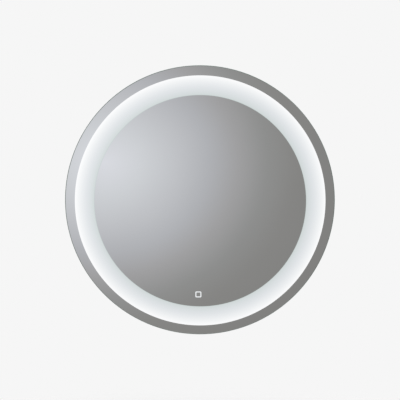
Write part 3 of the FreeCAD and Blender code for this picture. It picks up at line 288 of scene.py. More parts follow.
def on_circle(radius, degrees):
    """x and z of a point at an angle round the middle of the glass."""
    turn = np.radians(degrees)
    return GLASS_CENTRE[0] + radius * np.cos(turn), GLASS_CENTRE[1] + radius * np.sin(turn)


SCREW_CIRCLE = 283.1
PILOT = 1.45                      # radius of a hole that a screw taps
PANEL_SCREWS = [on_circle(SCREW_CIRCLE, step) for step in range(0, 360, 45)]
cut(frame_hoop, skin("flange_drill", [rod(at, PILOT, SEAT - 0.6, SEAT + FLANGE + 0.6, 20)
                                      for at in PANEL_SCREWS], []))

# Zinc-plated steel, bright and blue passivated: cloudy, slightly blue silver with a fine grain from
# the rolled sheet under it. The eye sees soft clouds 18 mm wide and a sparkle near 1 mm.
zinc_plate, tree, shader = material("zinc_plated_steel", Metallic=1.0, Roughness=0.34)
tree.links.new(mottle(tree, 18, "A3A9B0", "C2C7CC", detail=5.0), shader.inputs["Base Color"])
gloss(tree, shader, 1.2, 0.26, 0.44)
relief(tree, shader, 0.8, 0.01)
dress(zinc_plate, "splice_bar", "splice_screws")


# ------------------------------
# LED strip. A white flexible circuit stuck round the frame's channel, with 120 LED packages and 40
# series resistors soldered to its copper tracks.
# ------------------------------
CUT_PITCH = np.radians(9)         # from one cut mark to the next: three LEDs and a resistor
PAD_REACH = 0.004                 # half a pad along the strip, as an angle in radians
PAD_LEVEL, PAD_HALF = 3.0, 1.2    # millimetres across the strip, from its middle line
TRACK_LEVEL, TRACK_HALF = 4.2, 0.4


def off_middle(tree, across):
    """How far, in metres, a place is from the middle line of the LED strip, on either side."""
    from_level = add(tree, "Math", {0: across.outputs["Y"], 1: LED_LEVEL / 1000}, operation="ADD")
    return add(tree, "Math", {0: from_level.outputs["Value"]},
               operation="ABSOLUTE").outputs["Value"]


# White solder mask over copper: the two supply tracks show as faint darker bands, and bare copper
# pads lie across every cut mark, 9 degrees or 45 mm apart.
strip_mask, tree, shader = material("white_solder_mask", Roughness=0.42, IOR=1.5)
across = add(tree, "SeparateXYZ", {"Vector": add(tree, "TexCoord").outputs["Object"]})
above_centre = add(tree, "Math", {0: across.outputs["Z"], 1: -GLASS_CENTRE[1] / 1000},
                   operation="ADD")
round_angle = add(tree, "Math", {0: above_centre.outputs["Value"], 1: across.outputs["X"]},
                  operation="ARCTAN2")
off_mark = add(tree, "Math", {0: round_angle.outputs["Value"], 1: CUT_PITCH / 2},
               operation="PINGPONG")
pad_here = add(tree, "Math", {0: off_mark.outputs["Value"], 1: PAD_REACH}, operation="LESS_THAN")
sideways = off_middle(tree, across)
in_pad_row = add(tree, "Math", {0: sideways, 1: PAD_LEVEL / 1000, 2: PAD_HALF / 1000},
                 operation="COMPARE")
bare = add(tree, "Math", {0: pad_here.outputs["Value"], 1: in_pad_row.outputs["Value"]},
           operation="MULTIPLY")
track = add(tree, "Math", {0: sideways, 1: TRACK_LEVEL / 1000, 2: TRACK_HALF / 1000},
            operation="COMPARE")
mask_colour = add(tree, "Mix", {0: track.outputs["Value"], 6: mottle(tree, 6, "ECEEEA", "F4F5F2"),
                                7: linear("DADCD4")}, data_type="RGBA")
pads = add(tree, "Mix", {0: bare.outputs["Value"], 6: mask_colour.outputs[2],
                         7: linear("C08A5A")}, data_type="RGBA")
tree.links.new(pads.outputs[2], shader.inputs["Base Color"])
relief(tree, shader, 1.5, 0.02)
dress(strip_mask, "led_strip")

# LED package: a white moulded cup filled with yellow phosphor gel that glows neutral white. The
# phosphor covers the middle 2 mm of the package and the white walls show beside it.
CUP_HALF = 1.0
led_package, tree, shader = material("phosphor_led_package", Roughness=0.3, IOR=1.53,
                                     Emission_Strength=2.5)
across = add(tree, "SeparateXYZ", {"Vector": add(tree, "TexCoord").outputs["Object"]})
in_cup = add(tree, "Math", {0: off_middle(tree, across), 1: CUP_HALF / 1000},
             operation="LESS_THAN")
package = add(tree, "Mix", {0: in_cup.outputs["Value"], 6: linear("F2F2EE"),
                            7: mottle(tree, 0.5, "E8D98C", "F2E7A8")}, data_type="RGBA")
tree.links.new(package.outputs[2], shader.inputs["Base Color"])
# The white walls beside the phosphor glow dimly too: a painted glow standing in for the phosphor's
# light spilling onto them.
glow = add(tree, "Mix", {0: in_cup.outputs["Value"], 6: linear("6E6C66"),
                         7: linear("FFF8EC")}, data_type="RGBA")
tree.links.new(glow.outputs[2], shader.inputs["Emission Color"])
dress(led_package, "led_packages", "sensor_led")

# Thick-film chip resistor: black glazed ceramic, a little uneven.
chip_resistor, tree, shader = material("glazed_chip_resistor", Roughness=0.35, IOR=1.55)
tree.links.new(mottle(tree, 0.6, "1C1C20", "2C2C31"), shader.inputs["Base Color"])
relief(tree, shader, 0.3, 0.01)
dress(chip_resistor, "led_resistors")


# ------------------------------
# Mirror pane. A 5 mm float glass disc, silvered and painted on its back. Where the light ring and
# the touch icon are, the silver is etched away and the glass frosted, and the light shines through.
# The cut edge is ground and polished with a 1.2 mm arris.
# ------------------------------
GLASS_RADIUS = 299.9
GLASS_FRONT, GLASS_BACK = 40.0, 35.0
ARRIS = 1.2
ARRIS_INSIDE = GLASS_RADIUS - ARRIS
BLEND, SINK = 0.15, 0.06          # width and depth of the soft corner where the arris meets a face
RING_INSIDE, RING_OUTSIDE = 235.3, 278.6
ETCH_CENTRE = (0.5, -160.8)       # the etching mask lies a little off the middle of the disc
ICON = np.array([-4.0, -208.4])   # middle of the icon, from the middle of the etching
ICON_HALF, ICON_LINE = 6.7, 2.2

# Silvered float glass: a silver film behind clear glass, so a nearly perfect mirror with the faint
# green of float glass. Its only flaws are wiping marks, seen as a very small change of gloss.
silvered, tree, shader = material("silvered_float_glass", Metallic=1.0, Roughness=0.015)
tree.links.new(mottle(tree, 140, "F3F4F3", "F5F6F5"), shader.inputs["Base Color"])
gloss(tree, shader, 60, 0.008, 0.02)


def back_lit(name):
    """Frosted glass lit from behind: dark by itself, with the light that comes through it as its
    emission, and a coat because its front face is still polished."""
    made, tree, shader = material(name, Base_Color=linear("3A3C3C"), Roughness=0.6, IOR=1.52,
                                  Specular_IOR_Level=0.0, Coat_Weight=1.0, Coat_IOR=1.52,
                                  Coat_Roughness=0.01, Emission_Strength=1.0)
    made.cycles.emission_sampling = "NONE"
    return made, tree, shader


# The light ring, lit by LEDs at the rim of the casing: brightest outside, where the LEDs are near,
# and greener and a little darker towards the middle. The etch leaves a grain under 1 mm, drawn 2 mm
# wide.
frosted, tree, shader = back_lit("back_lit_frosted_glass")
across_ring = add(tree, "MapRange", {
    "Value": from_line(tree, add(tree, "TexCoord").outputs["Object"], ETCH_CENTRE),
    "From Min": RING_INSIDE / 1000, "From Max": RING_OUTSIDE / 1000})
# The first stop, darker and greener along the ring's inside edge, is painted shade where the cut
# edge of the silver shades the etch.
ring_light = add(tree, "ValToRGB", {"Fac": across_ring.outputs["Result"]}, stops=[
    (0.0, "BCC8C6"), (0.03, "CFD6D6"), (0.2, "D7DCDE"), (0.42, "E0E3E6"),
    (0.63, "EAECEE"), (0.83, "F4F5F6"), (0.94, "FAFAFB"), (1.0, "FDFDFE")])
grain = add(tree, "Mix", {0: 0.5, 6: ring_light.outputs["Color"],
                          7: mottle(tree, 2, "FAFBFB", "FFFFFF")},
            data_type="RGBA", blend_type="MULTIPLY")
tree.links.new(grain.outputs[2], shader.inputs["Emission Color"])

# The icon's line, etched like the ring but lit by the single LED of the touch sensor.
icon_light, tree, shader = back_lit("back_lit_icon_line")
tree.links.new(mottle(tree, 3, "EBEEF0", "F5F7F9"), shader.inputs["Emission Color"])

# Polished float-glass edge: looking into the edge the eye sees the glass's own green, dark because
# little light comes back out, with fine marks of the polishing wheel round the rim.
polished_edge, tree, shader = material("polished_glass_edge", Roughness=0.12, IOR=1.52,
                                       Coat_Weight=0.2, Coat_Roughness=0.03)
tree.links.new(mottle(tree, 5, "4A5A53", "60726A", detail=5.0), shader.inputs["Base Color"])
gloss(tree, shader, 1.5, 0.08, 0.22)

# Mirror backing paint: poured and baked blue-grey paint over the silver film, matt, in faint clouds
# 30 mm wide and with a light orange peel.
backing_paint, tree, shader = material("mirror_backing_paint", Roughness=0.55, IOR=1.5)
tree.links.new(mottle(tree, 30, "666D72", "70777C", detail=5.0), shader.inputs["Base Color"])
relief(tree, shader, 2.5, 0.03)


def square_reach(turn, half, corner):
    """How far a ray from the middle of a square with round corners goes: half / cos to a side, and
    where that passes the corner's centre q, q(a + b) + sqrt((q(a + b))^2 - 2 q^2 + corner^2)."""
    a, b = np.sort(np.abs([np.cos(turn), np.sin(turn)]), axis=0)[::-1]
    side = half / a
    q = half - corner
    along = q * (a + b)
    bend = along + np.sqrt(np.maximum(along ** 2 - 2 * q * q + corner ** 2, 0))
    return np.where(side * b <= q, side, bend)


def layered(rows, middle):
    """Outlines laid one in front of the other: each is a scale, an outline and its depth, and goes
    to x = middle + scale * outline, y = -depth, z = middle + scale * outline."""
    return np.stack([np.stack([middle[0] + scale * line[:, 0], np.full(len(line), -depth),
                               middle[1] + scale * line[:, 1]], -1)
                     for scale, line, depth in rows])


# The front face, in rows that run from the icon's middle over its line to the ring's inside.
turn = np.linspace(0, 2 * np.pi, 721)
ray = np.stack([np.cos(turn), np.sin(turn)], -1)
icon_along = ray @ ICON
to_ring = -icon_along + np.sqrt(icon_along ** 2 - ICON @ ICON + RING_INSIDE ** 2)
outline = square_reach(turn, ICON_HALF, 2.4)
inline = square_reach(turn, ICON_HALF - ICON_LINE, 0.8)
reaches = [0 * turn, inline, outline] + [
    outline + (to_ring - outline) * step for step in (0.1, 0.3, 0.6, 1.0)]
field = [ICON + ray * reach[:, None] for reach in reaches]
front = layered([(1, row, GLASS_FRONT) for row in field], ETCH_CENTRE)
ring_angles = np.unwrap(np.arctan2(*field[-1].T[::-1]))
lit_rows = turned([(radius, GLASS_FRONT) for radius in (250, 265, RING_OUTSIDE)],
                  ETCH_CENTRE, angles=ring_angles)
rim = turned([
    (ARRIS_INSIDE - 2 * BLEND, GLASS_FRONT), (ARRIS_INSIDE - BLEND, GLASS_FRONT),
    (ARRIS_INSIDE, GLASS_FRONT - SINK), (GLASS_RADIUS - SINK, GLASS_FRONT - ARRIS),
    (GLASS_RADIUS, GLASS_FRONT - ARRIS - BLEND), (GLASS_RADIUS, GLASS_BACK + ARRIS + BLEND),
    (GLASS_RADIUS - SINK, GLASS_BACK + ARRIS), (ARRIS_INSIDE, GLASS_BACK + SINK),
    (ARRIS_INSIDE - BLEND, GLASS_BACK), (ARRIS_INSIDE - 2 * BLEND, GLASS_BACK),
    (200, GLASS_BACK), (0, GLASS_BACK)], angles=ring_angles)
SILVER, FROST, LINE, EDGE, PAINT = range(5)
pane_zones = [SILVER, LINE] + [SILVER] * 4 + [FROST] * 3 + [SILVER] * 2 + [EDGE] * 7 + [PAINT] * 3
fit(skin("silvered_glass_pane", [np.concatenate([front, lit_rows, rim])],
         [silvered, frosted, icon_light, polished_edge, backing_paint], zones=pane_zones),
    "mirror", ["mirror_pane"])

# Bonding tape. A ring of white closed-cell foam with acrylic glue on both faces, squeezed to 0.8 mm
# between the glass and the frame. Its cut sides show open cells half a millimetre across.
foam_tape, tree, shader = material("closed_cell_foam_tape", Roughness=0.85, IOR=1.45)
cells = add(tree, "TexVoronoi", {"Vector": add(tree, "TexCoord").outputs["Object"],
                                 "Scale": 1000 / 0.6})
# Each cell is painted darker towards its middle, where the bump sinks it: painted shade in the
# cells' hollows.
cell_hollow_shade = add(tree, "ValToRGB", {"Fac": cells.outputs["Distance"]},
                  stops=[(0.0, "D2D2CE"), (0.5, "EFEFEC")])
tree.links.new(cell_hollow_shade.outputs["Color"], shader.inputs["Base Color"])
bump = add(tree, "Bump", {"Height": cells.outputs["Distance"], "Strength": 0.6,
                          "Distance": 0.12 / 1000})
tree.links.new(bump.outputs["Normal"], shader.inputs["Normal"])
TAPE_INSIDE, TAPE_OUTSIDE = 282, 290
tape = turned(closed(rounded([(TAPE_INSIDE, FRAME_FRONT), (TAPE_INSIDE, GLASS_BACK),
                              (TAPE_OUTSIDE, GLASS_BACK), (TAPE_OUTSIDE, FRAME_FRONT)], 0.2,
                             steps=3)))
fit(skin("foam_bonding_ring", [tape], [foam_tape]), "mirror", ["bonding_tape"])
dress(foam_tape, "sensor_pad")


# ------------------------------
# Heating film. A polyester film stuck to the back of the glass, with a printed carbon track that
# runs in rings, and a moulded cap over its two soldered tags.
# ------------------------------
# Printed polyester film: amber and glossy, with dark tracks 7 mm apart round the middle. A wave
# texture at scale 1 repeats every 2 pi / 20.
HEAT_PITCH = 7.0
heating_film, tree, shader = material("printed_polyester_film", Roughness=0.28, IOR=1.57)
place = add(tree, "TexCoord").outputs["Object"]
off_centre = add(tree, "VectorMath", {0: place, 1: (0, 0, GLASS_CENTRE[1] / 1000)},
                 operation="SUBTRACT")
tracks = add(tree, "TexWave", {"Vector": off_centre.outputs["Vector"],
                               "Scale": 1000 / HEAT_PITCH / 20 * 2 * np.pi, "Distortion": 0.0},
             wave_type="RINGS", rings_direction="Y")
printed = add(tree, "ValToRGB", {"Fac": tracks.outputs["Fac"]},
              stops=[(0.55, "CDBD9C"), (0.62, "4A4138")])
tree.links.new(printed.outputs["Color"], shader.inputs["Base Color"])
gloss(tree, shader, 9, 0.2, 0.36)
dress(heating_film, "demister_pad")

# Moulded rubber: carbon black, matt, with the fine grain of an eroded mould and a trace of bloom.
black_rubber, tree, shader = material("moulded_black_rubber", Roughness=0.75, IOR=1.5)
tree.links.new(mottle(tree, 4, "1B1B1C", "29292B", detail=6.0), shader.inputs["Base Color"])
gloss(tree, shader, 3, 0.62, 0.85)
relief(tree, shader, 0.7, 0.04)
dress(black_rubber, "demister_lug")


# ------------------------------
# Touch sensor. A moulded housing behind the icon holds a small board with its sensing pad and the
# LED that lights the icon.
# ------------------------------
def moulded(name, dark, pale, rough):
    """Injection-moulded plastic: even colour, with the spark-eroded grain of the mould, about
    0.5 mm wide, which breaks up its highlights."""
    made, tree, shader = material(name, Roughness=rough, IOR=1.52)
    tree.links.new(mottle(tree, 25, dark, pale), shader.inputs["Base Color"])
    gloss(tree, shader, 1.0, rough - 0.06, rough + 0.08)
    relief(tree, shader, 0.6, 0.03)
    return made


grey_abs = moulded("moulded_grey_abs", "6E7276", "777B7F", 0.48)
dress(grey_abs, "sensor_housing")

# Glass-epoxy board under green solder mask: copper tracks show paler through the mask, in short
# right-angled runs a millimetre wide.
green_board, tree, shader = material("green_solder_mask_board", Roughness=0.32, IOR=1.52)
on_board = add(tree, "Mapping", {"Vector": add(tree, "TexCoord").outputs["Object"],
                                 "Rotation": (np.pi / 2, 0, 0)})
brick = add(tree, "TexBrick", {"Vector": on_board.outputs["Vector"], "Color1": linear("1C5232"),
                               "Color2": linear("174A2C"), "Mortar": linear("3C8A58"),
                               "Scale": 1000 / 12, "Mortar Size": 0.05})
tree.links.new(brick.outputs["Color"], shader.inputs["Base Color"])
gloss(tree, shader, 2, 0.25, 0.4)
dress(green_board, "sensor_board", "driver_board")


# ------------------------------
# Back panel. A disc of 1 mm steel, pressed with a stiffening bead, punched, and powder coated
# white. It drops into the frame's rebate and eight screws hold it to the rear flange.
# ------------------------------
PANEL_REAR, SHEET = FRAME_REAR, 1.0
PANEL_RADIUS = 289.2
PUNCHED = 0.2                     # rounding that the punch leaves on the panel's edge
BEAD_RADIUS, BEAD_HALF, BEAD_SLOPE, BEAD_HEIGHT = 158.0, 7.0, 5.0, 2.0

# White powder coat: baked polyester powder that flows into an orange peel a couple of millimetres
# wide and very shallow. The eye sees a soft, slightly wavy gloss, a shade greyer in patches.
powder_coat, tree, shader = material("white_powder_coat", Roughness=0.42, IOR=1.5)
tree.links.new(mottle(tree, 45, "E8E8E5", "ECECE9", detail=6.0), shader.inputs["Base Color"])
gloss(tree, shader, 3, 0.36, 0.5)
relief(tree, shader, 2.0, 0.05)


def eased(t):
    """A step from 0 to 1 that starts and ends level: 3t^2 - 2t^3."""
    t = np.clip(t, 0, 1)
    return t * t * (3 - 2 * t)


bead_radii = np.linspace(BEAD_RADIUS - BEAD_HALF - BEAD_SLOPE,
                         BEAD_RADIUS + BEAD_HALF + BEAD_SLOPE, 41)
panel_radii = np.concatenate([[0, 60, 120], bead_radii, [210, 250, PANEL_RADIUS - PUNCHED]])
bead = BEAD_HEIGHT * (eased((panel_radii - bead_radii[0]) / BEAD_SLOPE)
                      - eased((panel_radii - bead_radii[-1]) / BEAD_SLOPE + 1))
rear_line = np.stack([panel_radii, PANEL_REAR + bead], -1)
front_line = rear_line[::-1] + (0, SHEET)
panel_edge = [(PANEL_RADIUS, PANEL_REAR + PUNCHED),
              (PANEL_RADIUS, PANEL_REAR + SHEET - PUNCHED)]
panel = skin("powder_coated_back_panel", [turned(np.concatenate(
    [rear_line, panel_edge, front_line]), columns=360)], [powder_coat])


def oblong(width, height, corner, steps):
    """A closed rectangular outline with rounded corners round the origin."""
    corners = np.array([(-1, -1), (1, -1), (1, 1), (-1, 1)]) * (width / 2, height / 2)
    return closed(rounded(corners, corner, steps))


def bar(middle, outline, start, end):
    """A closed bar along the depth, for cutting an opening."""
    return layered([(0, outline, start), (1, outline, start), (1, outline, end),
                    (0, outline, end)], middle)


CLEARANCE, RIVET_HOLE, STUD_HOLE = 1.7, 1.65, 2.15
TERMINAL = (95.0, -150.0)
DRIVER = (-15.0, -240.0)
COVER_SCREWS = [(TERMINAL[0] + side * 36, TERMINAL[1]) for side in (-1, 1)]
DRIVER_SCREWS = [(DRIVER[0] + side * 80.5, DRIVER[1]) for side in (-1, 1)]
RIVETS = [(step * 110.0, 32.2) for step in (-1.5, -0.5, 0.5, 1.5)]
BUMPERS = [(side * 150.0, -369.912) for side in (-1, 1)]
EARTH = (40.0, -182.0)
VENTS = [(step * 12.0, -282.0) for step in range(-3, 4)]
CUT_START, CUT_END = PANEL_REAR - 1, PANEL_REAR + SHEET + 1
drills = [rod(at, radius, CUT_START, CUT_END, 24)
          for places, radius in ((PANEL_SCREWS + COVER_SCREWS, CLEARANCE), (RIVETS, RIVET_HOLE),
                                 (DRIVER_SCREWS + BUMPERS, PILOT), ([EARTH], STUD_HOLE))
          for at in places]
slots = [bar(at, oblong(3, 16, 1.5, 8), CUT_START, CUT_END) for at in VENTS]
slots.append(bar(TERMINAL, oblong(56, 42, 2, 8), CUT_START, CUT_END))
cut(panel, skin("panel_punches", drills, []))
cut(panel, skin("panel_slots", slots, []))
fit(panel, "mirror", ["back_panel"])


# ------------------------------
# Hanging rails. Two bent strips of 2 mm galvanised steel. One is screwed to the wall; the other is
# riveted to the back panel, and its lip hooks down behind the wall rail's lip.
# ------------------------------
# Galvanised sheet: the zinc froze in crystals 3 to 6 mm wide, each a flat fern that catches the
# light at its own angle. The eye sees a mosaic of near greys with faint streaks from rolling.
CRYSTAL, WANDER = 6.0, 4.0        # width of a crystal, and how far its border wanders
galvanised, tree, shader = material("galvanised_steel_sheet", Metallic=1.0, Roughness=0.38)
place = add(tree, "TexCoord").outputs["Object"]
stray = add(tree, "TexNoise", {"Vector": place, "Scale": 1000 / WANDER, "Detail": 3.0})
shifted = add(tree, "VectorMath", {0: stray.outputs["Color"], 1: (WANDER / 1000,) * 3, 2: place},
              operation="MULTIPLY_ADD")
crystals = add(tree, "TexVoronoi", {"Vector": shifted.outputs["Vector"],
                                    "Scale": 1000 / CRYSTAL})
crystal = add(tree, "SeparateColor", {"Color": crystals.outputs["Color"]})
facets = add(tree, "ValToRGB", {"Fac": crystal.outputs["Red"]},
             stops=[(0.0, "AAB0B4"), (0.5, "B0B5B9"), (1.0, "B9BDC1")])
tree.links.new(facets.outputs["Color"], shader.inputs["Base Color"])
sheen = add(tree, "MapRange", {"Value": crystal.outputs["Green"], "To Min": 0.32, "To Max": 0.42})
tree.links.new(sheen.outputs["Result"], shader.inputs["Roughness"])
rolled = add(tree, "Mapping", {"Vector": place, "Scale": (0.04, 1, 1)})
relief(tree, shader, 0.8, 0.015, vector=rolled.outputs["Vector"])


def rail(name, strip, half_length, holes):
    """A bent strip: an outline of (depth, height, bend radius), its bends rounded, carried along
    x."""
    line = closed(rounded(strip[:, :2], strip[:, 2], steps=6))
    across = np.linspace(-half_length, half_length, 25)
    depth, up = line.T[:, :, None] + 0 * across
    grid = np.stack([across + 0 * depth, -depth, up], -1)
    made = skin(name, [grid], [galvanised], flat_ends=[grid[:-1, 0], grid[:-1, -1]])
    return cut(made, skin(name + "_drill", holes, []))


FOLD_IN, FOLD_OUT, BURR = 0.8, 2.8, 0.15   # inner and outer bend radius, and the sheared edges
wall_strip = np.array([
    (0, -9, BURR), (2, -9, BURR), (2, 7, FOLD_IN), (6.6, 7, FOLD_OUT), (6.6, 21, BURR),
    (4.6, 21, BURR), (4.6, 9, FOLD_IN), (0, 9, FOLD_OUT)])
mirror_strip = np.array([
    (2.3, 10.2, BURR), (2.3, 23.2, FOLD_OUT), (6.6, 23.2, FOLD_IN), (6.6, 41.2, BURR),
    (8.6, 41.2, BURR), (8.6, 21.2, FOLD_OUT), (4.3, 21.2, FOLD_IN), (4.3, 10.2, BURR)])
WALL_REACH, HOOK_REACH = 160, 180  # half the length of each rail
wall_holes = [rod((side * 120, 0), 2.5, -1, 3) for side in (-1, 1)]
fit(rail("zinc_wall_rail", wall_strip, WALL_REACH, wall_holes), "wall_hanger", ["wall_rail"])
rivet_holes = [rod(at, RIVET_HOLE, 6, 9.2, 24) for at in RIVETS]
fit(rail("zinc_hook_rail", mirror_strip, HOOK_REACH, rivet_holes), "mirror", ["mirror_rail"])

# Blind rivets. Aluminium, domed head outside with the hollow that the broken mandrel leaves, the
# set tail inside.
RIVET_SEAT = 6.6
rivet_line = [(0, RIVET_SEAT - 0.35), (0.75, RIVET_SEAT - 0.35), (0.8, RIVET_SEAT - 0.94),
              (1.1, RIVET_SEAT - 1), (1.98, RIVET_SEAT - 0.97), (2.7, RIVET_SEAT - 0.72),
              (3.15, RIVET_SEAT - 0.32), (3.3, RIVET_SEAT), (1.6, RIVET_SEAT), (1.6, 9.6),
              (2.5, 9.65), (2.64, 10.1), (2.55, 10.7), (1.9, 11.3), (0.9, 11.58), (0, 11.6)]
fit(skin("domed_blind_rivets", [turned(rivet_line, at, columns=40) for at in RIVETS],
         [satin_aluminium]), "mirror", ["rail_rivets"])


# ------------------------------
# LED driver. A moulded tray and lid around a small power supply: board, wound transformer, two
# electrolytic capacitors and a terminal block at each end.
# ------------------------------
white_abs = moulded("moulded_white_abs", "DDDDD8", "E5E5E1", 0.45)
dress(white_abs, "driver_case", "driver_lid", "terminal_box", "terminal_block", "cord_clamp",
      "lead_clips")
dress(grey_abs, "driver_terminals")

# Ferrite core with a taped coil: sintered dark grey ferrite, matt with tiny pits, and glossy yellow
# polyester tape over the winding between the core's legs.
COIL_HALF = 6.6
ferrite, tree, shader = material("sintered_ferrite_and_tape", Roughness=0.6, IOR=1.6)
across = add(tree, "SeparateXYZ", {"Vector": add(tree, "TexCoord").outputs["Object"]})
taped = add(tree, "Math", {0: across.outputs["X"], 1: DRIVER[0] / 1000, 2: COIL_HALF / 1000},
            operation="COMPARE")
winding = add(tree, "Mix", {0: taped.outputs["Value"], 6: mottle(tree, 0.7, "262628", "3A3A3D"),
                            7: mottle(tree, 4, "D8B23A", "E3C255")}, data_type="RGBA")
tree.links.new(winding.outputs[2], shader.inputs["Base Color"])
relief(tree, shader, 0.4, 0.03)
dress(ferrite, "driver_transformer")

# Electrolytic capacitors: black shrink sleeve with a pale stripe down one side, and the bare
# aluminium top.
CAN_TOP, STRIPE_FROM = 0.4, 3.4   # what the sleeve leaves bare, and where the stripe begins
sleeve, tree, shader = material("shrink_sleeve_over_aluminium", Roughness=0.3, IOR=1.52)
across = add(tree, "SeparateXYZ", {"Vector": add(tree, "TexCoord").outputs["Object"]})
on_top = add(tree, "Math", {0: across.outputs["Y"],
                            1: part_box("driver_capacitors")[0].y + CAN_TOP / 1000},
             operation="LESS_THAN")
stripe = add(tree, "Math", {0: across.outputs["Z"], 1: (DRIVER[1] + STRIPE_FROM) / 1000},
             operation="GREATER_THAN")
striped = add(tree, "Mix", {0: stripe.outputs["Value"], 6: mottle(tree, 3, "16181F", "1F222B"),
                            7: linear("C9CDD2")}, data_type="RGBA")
capped = add(tree, "Mix", {0: on_top.outputs["Value"], 6: striped.outputs[2],
                           7: linear("BDBFC2")}, data_type="RGBA")
tree.links.new(capped.outputs[2], shader.inputs["Base Color"])
tree.links.new(on_top.outputs["Value"], shader.inputs["Metallic"])
dress(sleeve, "driver_capacitors")


# ------------------------------
# Terminal block. Brass clamping screws, turned and slotted, five for the leads of the mirror and
# five for the supply cable.
# ------------------------------
# Turned brass: warm yellow metal with fine rings from the tool and a slight brown tarnish.
brass, tree, shader = material("turned_brass", Metallic=1.0, Roughness=0.3)
tree.links.new(mottle(tree, 3, "B08A3C", "D6B25E", detail=5.0), shader.inputs["Base Color"])
gloss(tree, shader, 0.5, 0.22, 0.4)
dress(brass, "load_screws", "supply_screws")


# ------------------------------
# Earth stud. A zinc-plated stud clinched into the panel from behind, with a brass tag, a washer
# and two nuts inside. Only its flat head shows on the back.
# ------------------------------
STUD_SHANK, STUD_TOP = 2.0, 19.0
stud_head = [(0, 6.7), (2.4, 6.62), (2.75, 6.6), (3.0, 6.72), (3.95, 8.45), (4.0, PANEL_REAR)]
stud_thread = [(STUD_SHANK, depth) for depth in np.linspace(PANEL_REAR, STUD_TOP, 61)]
stud_tip = [(1.6, STUD_TOP + 0.5), (0, STUD_TOP + 0.6)]
stud = turned(stud_head + stud_thread + stud_tip, EARTH, columns=40)


def threaded(shape, middle, pitch, depth, start, end, shank):
    """Cuts a thread into a turned shape: between start and end its radius falls by depth times a
    saw-tooth of (depth along the axis / pitch - turn), never above the shank."""
    out = shape[..., [0, 2]] - middle
    radius = np.linalg.norm(out, axis=-1)
    turn = np.arctan2(out[..., 1], out[..., 0]) / (2 * np.pi)
    along = -shape[..., 1]
    phase = np.abs(np.mod(along / pitch - turn, 1) * 2 - 1)
    inside = (along > start) & (along < end) & (np.abs(radius - shank) < 0.02)
    scale = np.where(inside, 1 - depth * phase / np.maximum(radius, 0.1), 1)
    shape[..., [0, 2]] = middle + out * scale[..., None]
    return shape


stud = threaded(stud, EARTH, pitch=0.7, depth=0.3, start=PANEL_REAR + SHEET + 0.1, end=STUD_TOP,
                shank=STUD_SHANK)
fit(skin("clinched_earth_stud", [stud], [zinc_plate]), "mirror", ["earth_stud"])
dress(zinc_plate, "earth_washer", "earth_nuts")

# Ring tag, stamped from 0.8 mm brass in one piece: a ring round the stud and a tongue under the
# lead. At an angle round the stud its edge lies at the ring's radius or, where that is farther, at
# the nearer of the tongue's end, reach / cos, and the tongue's side, half its width / sin.
TAG_RING, TAG_REACH, TAG_HALF = 4.4, 16.0, 1.32
TAG_REAR, TAG_FRONT, TAG_BURR = PANEL_REAR + SHEET, PANEL_REAR + SHEET + 0.8, 0.1
tip, root = np.arctan2(TAG_HALF, TAG_REACH), np.arcsin(TAG_HALF / TAG_RING)
flank = np.linspace(tip, root, 9)[1:]
tag_turn = np.concatenate([np.linspace(-tip, tip, 5), flank,
                           np.linspace(root, 2 * np.pi - root, 65)[1:-1],
                           2 * np.pi - flank[::-1], [2 * np.pi - tip]])
tag_ray = np.stack([np.cos(tag_turn), np.sin(tag_turn)], -1)
ahead, aside = np.maximum(np.abs(tag_ray.T), 0.01)
tongue = np.where(tag_ray[:, 0] > 0, np.minimum(TAG_REACH / ahead, TAG_HALF / aside), 0)
tag_edge = np.maximum(TAG_RING, tongue)[:, None]
hole_line, burr_line, edge_line = [tag_ray * reach for reach in
                                   (STUD_HOLE, tag_edge - TAG_BURR, tag_edge)]
tag = layered([(1, hole_line, TAG_REAR), (1, burr_line, TAG_REAR),
               (1, edge_line, TAG_REAR + TAG_BURR), (1, edge_line, TAG_FRONT - TAG_BURR),
               (1, burr_line, TAG_FRONT), (1, hole_line, TAG_FRONT), (1, hole_line, TAG_REAR)],
              EARTH)
fit(skin("stamped_ring_tag", [tag], [brass]), "mirror", ["earth_tag"])


# ------------------------------
# Internal leads. PVC over flexible copper, in moulded clips: brown from the terminal block to the
# driver, white to the heating film and the LED strip, black to the touch sensor, green and yellow
# for the earth.
# ------------------------------
def insulated(name, dark, pale):
    """Extruded PVC: glossy and even, with a faint waviness along the lead where the strands show
    through, about 3 mm long."""
    made, tree, shader = material(name, Roughness=0.35, IOR=1.53)
    tree.links.new(mottle(tree, 8, dark, pale), shader.inputs["Base Color"])
    gloss(tree, shader, 3, 0.28, 0.42)
    relief(tree, shader, 3.0, 0.08, strength=0.4)
    return made


dress(insulated("brown_pvc_lead", "4A2C1C", "573524"), "mains_leads")
dress(insulated("white_pvc_lead", "DEDEDA", "E8E8E5"), "demister_leads", "led_leads")
dress(insulated("black_pvc_lead", "1A1A1B", "252526"), "touch_leads")

# Earth lead: the same PVC in green, with a broad yellow stripe along the side that faces the glass
# and upwards.
STRIPE_SIDE, STRIPE_LIMIT = (0.5, -0.5, 0.7), 0.4
earth_pvc, tree, shader = material("green_yellow_pvc_lead", Roughness=0.35, IOR=1.53)
facing = add(tree, "VectorMath", {0: add(tree, "TexCoord").outputs["Normal"], 1: STRIPE_SIDE},
             operation="DOT_PRODUCT")
on_stripe = add(tree, "Math", {0: facing.outputs["Value"], 1: STRIPE_LIMIT},
                operation="GREATER_THAN")
earth_colour = add(tree, "Mix", {0: on_stripe.outputs["Value"],
                                 6: mottle(tree, 8, "2F7A33", "3A8A3E"),
                                 7: mottle(tree, 8, "D8C224", "E4D03A")}, data_type="RGBA")
tree.links.new(earth_colour.outputs[2], shader.inputs["Base Color"])
relief(tree, shader, 3.0, 0.08, strength=0.4)
dress(earth_pvc, "earth_lead")


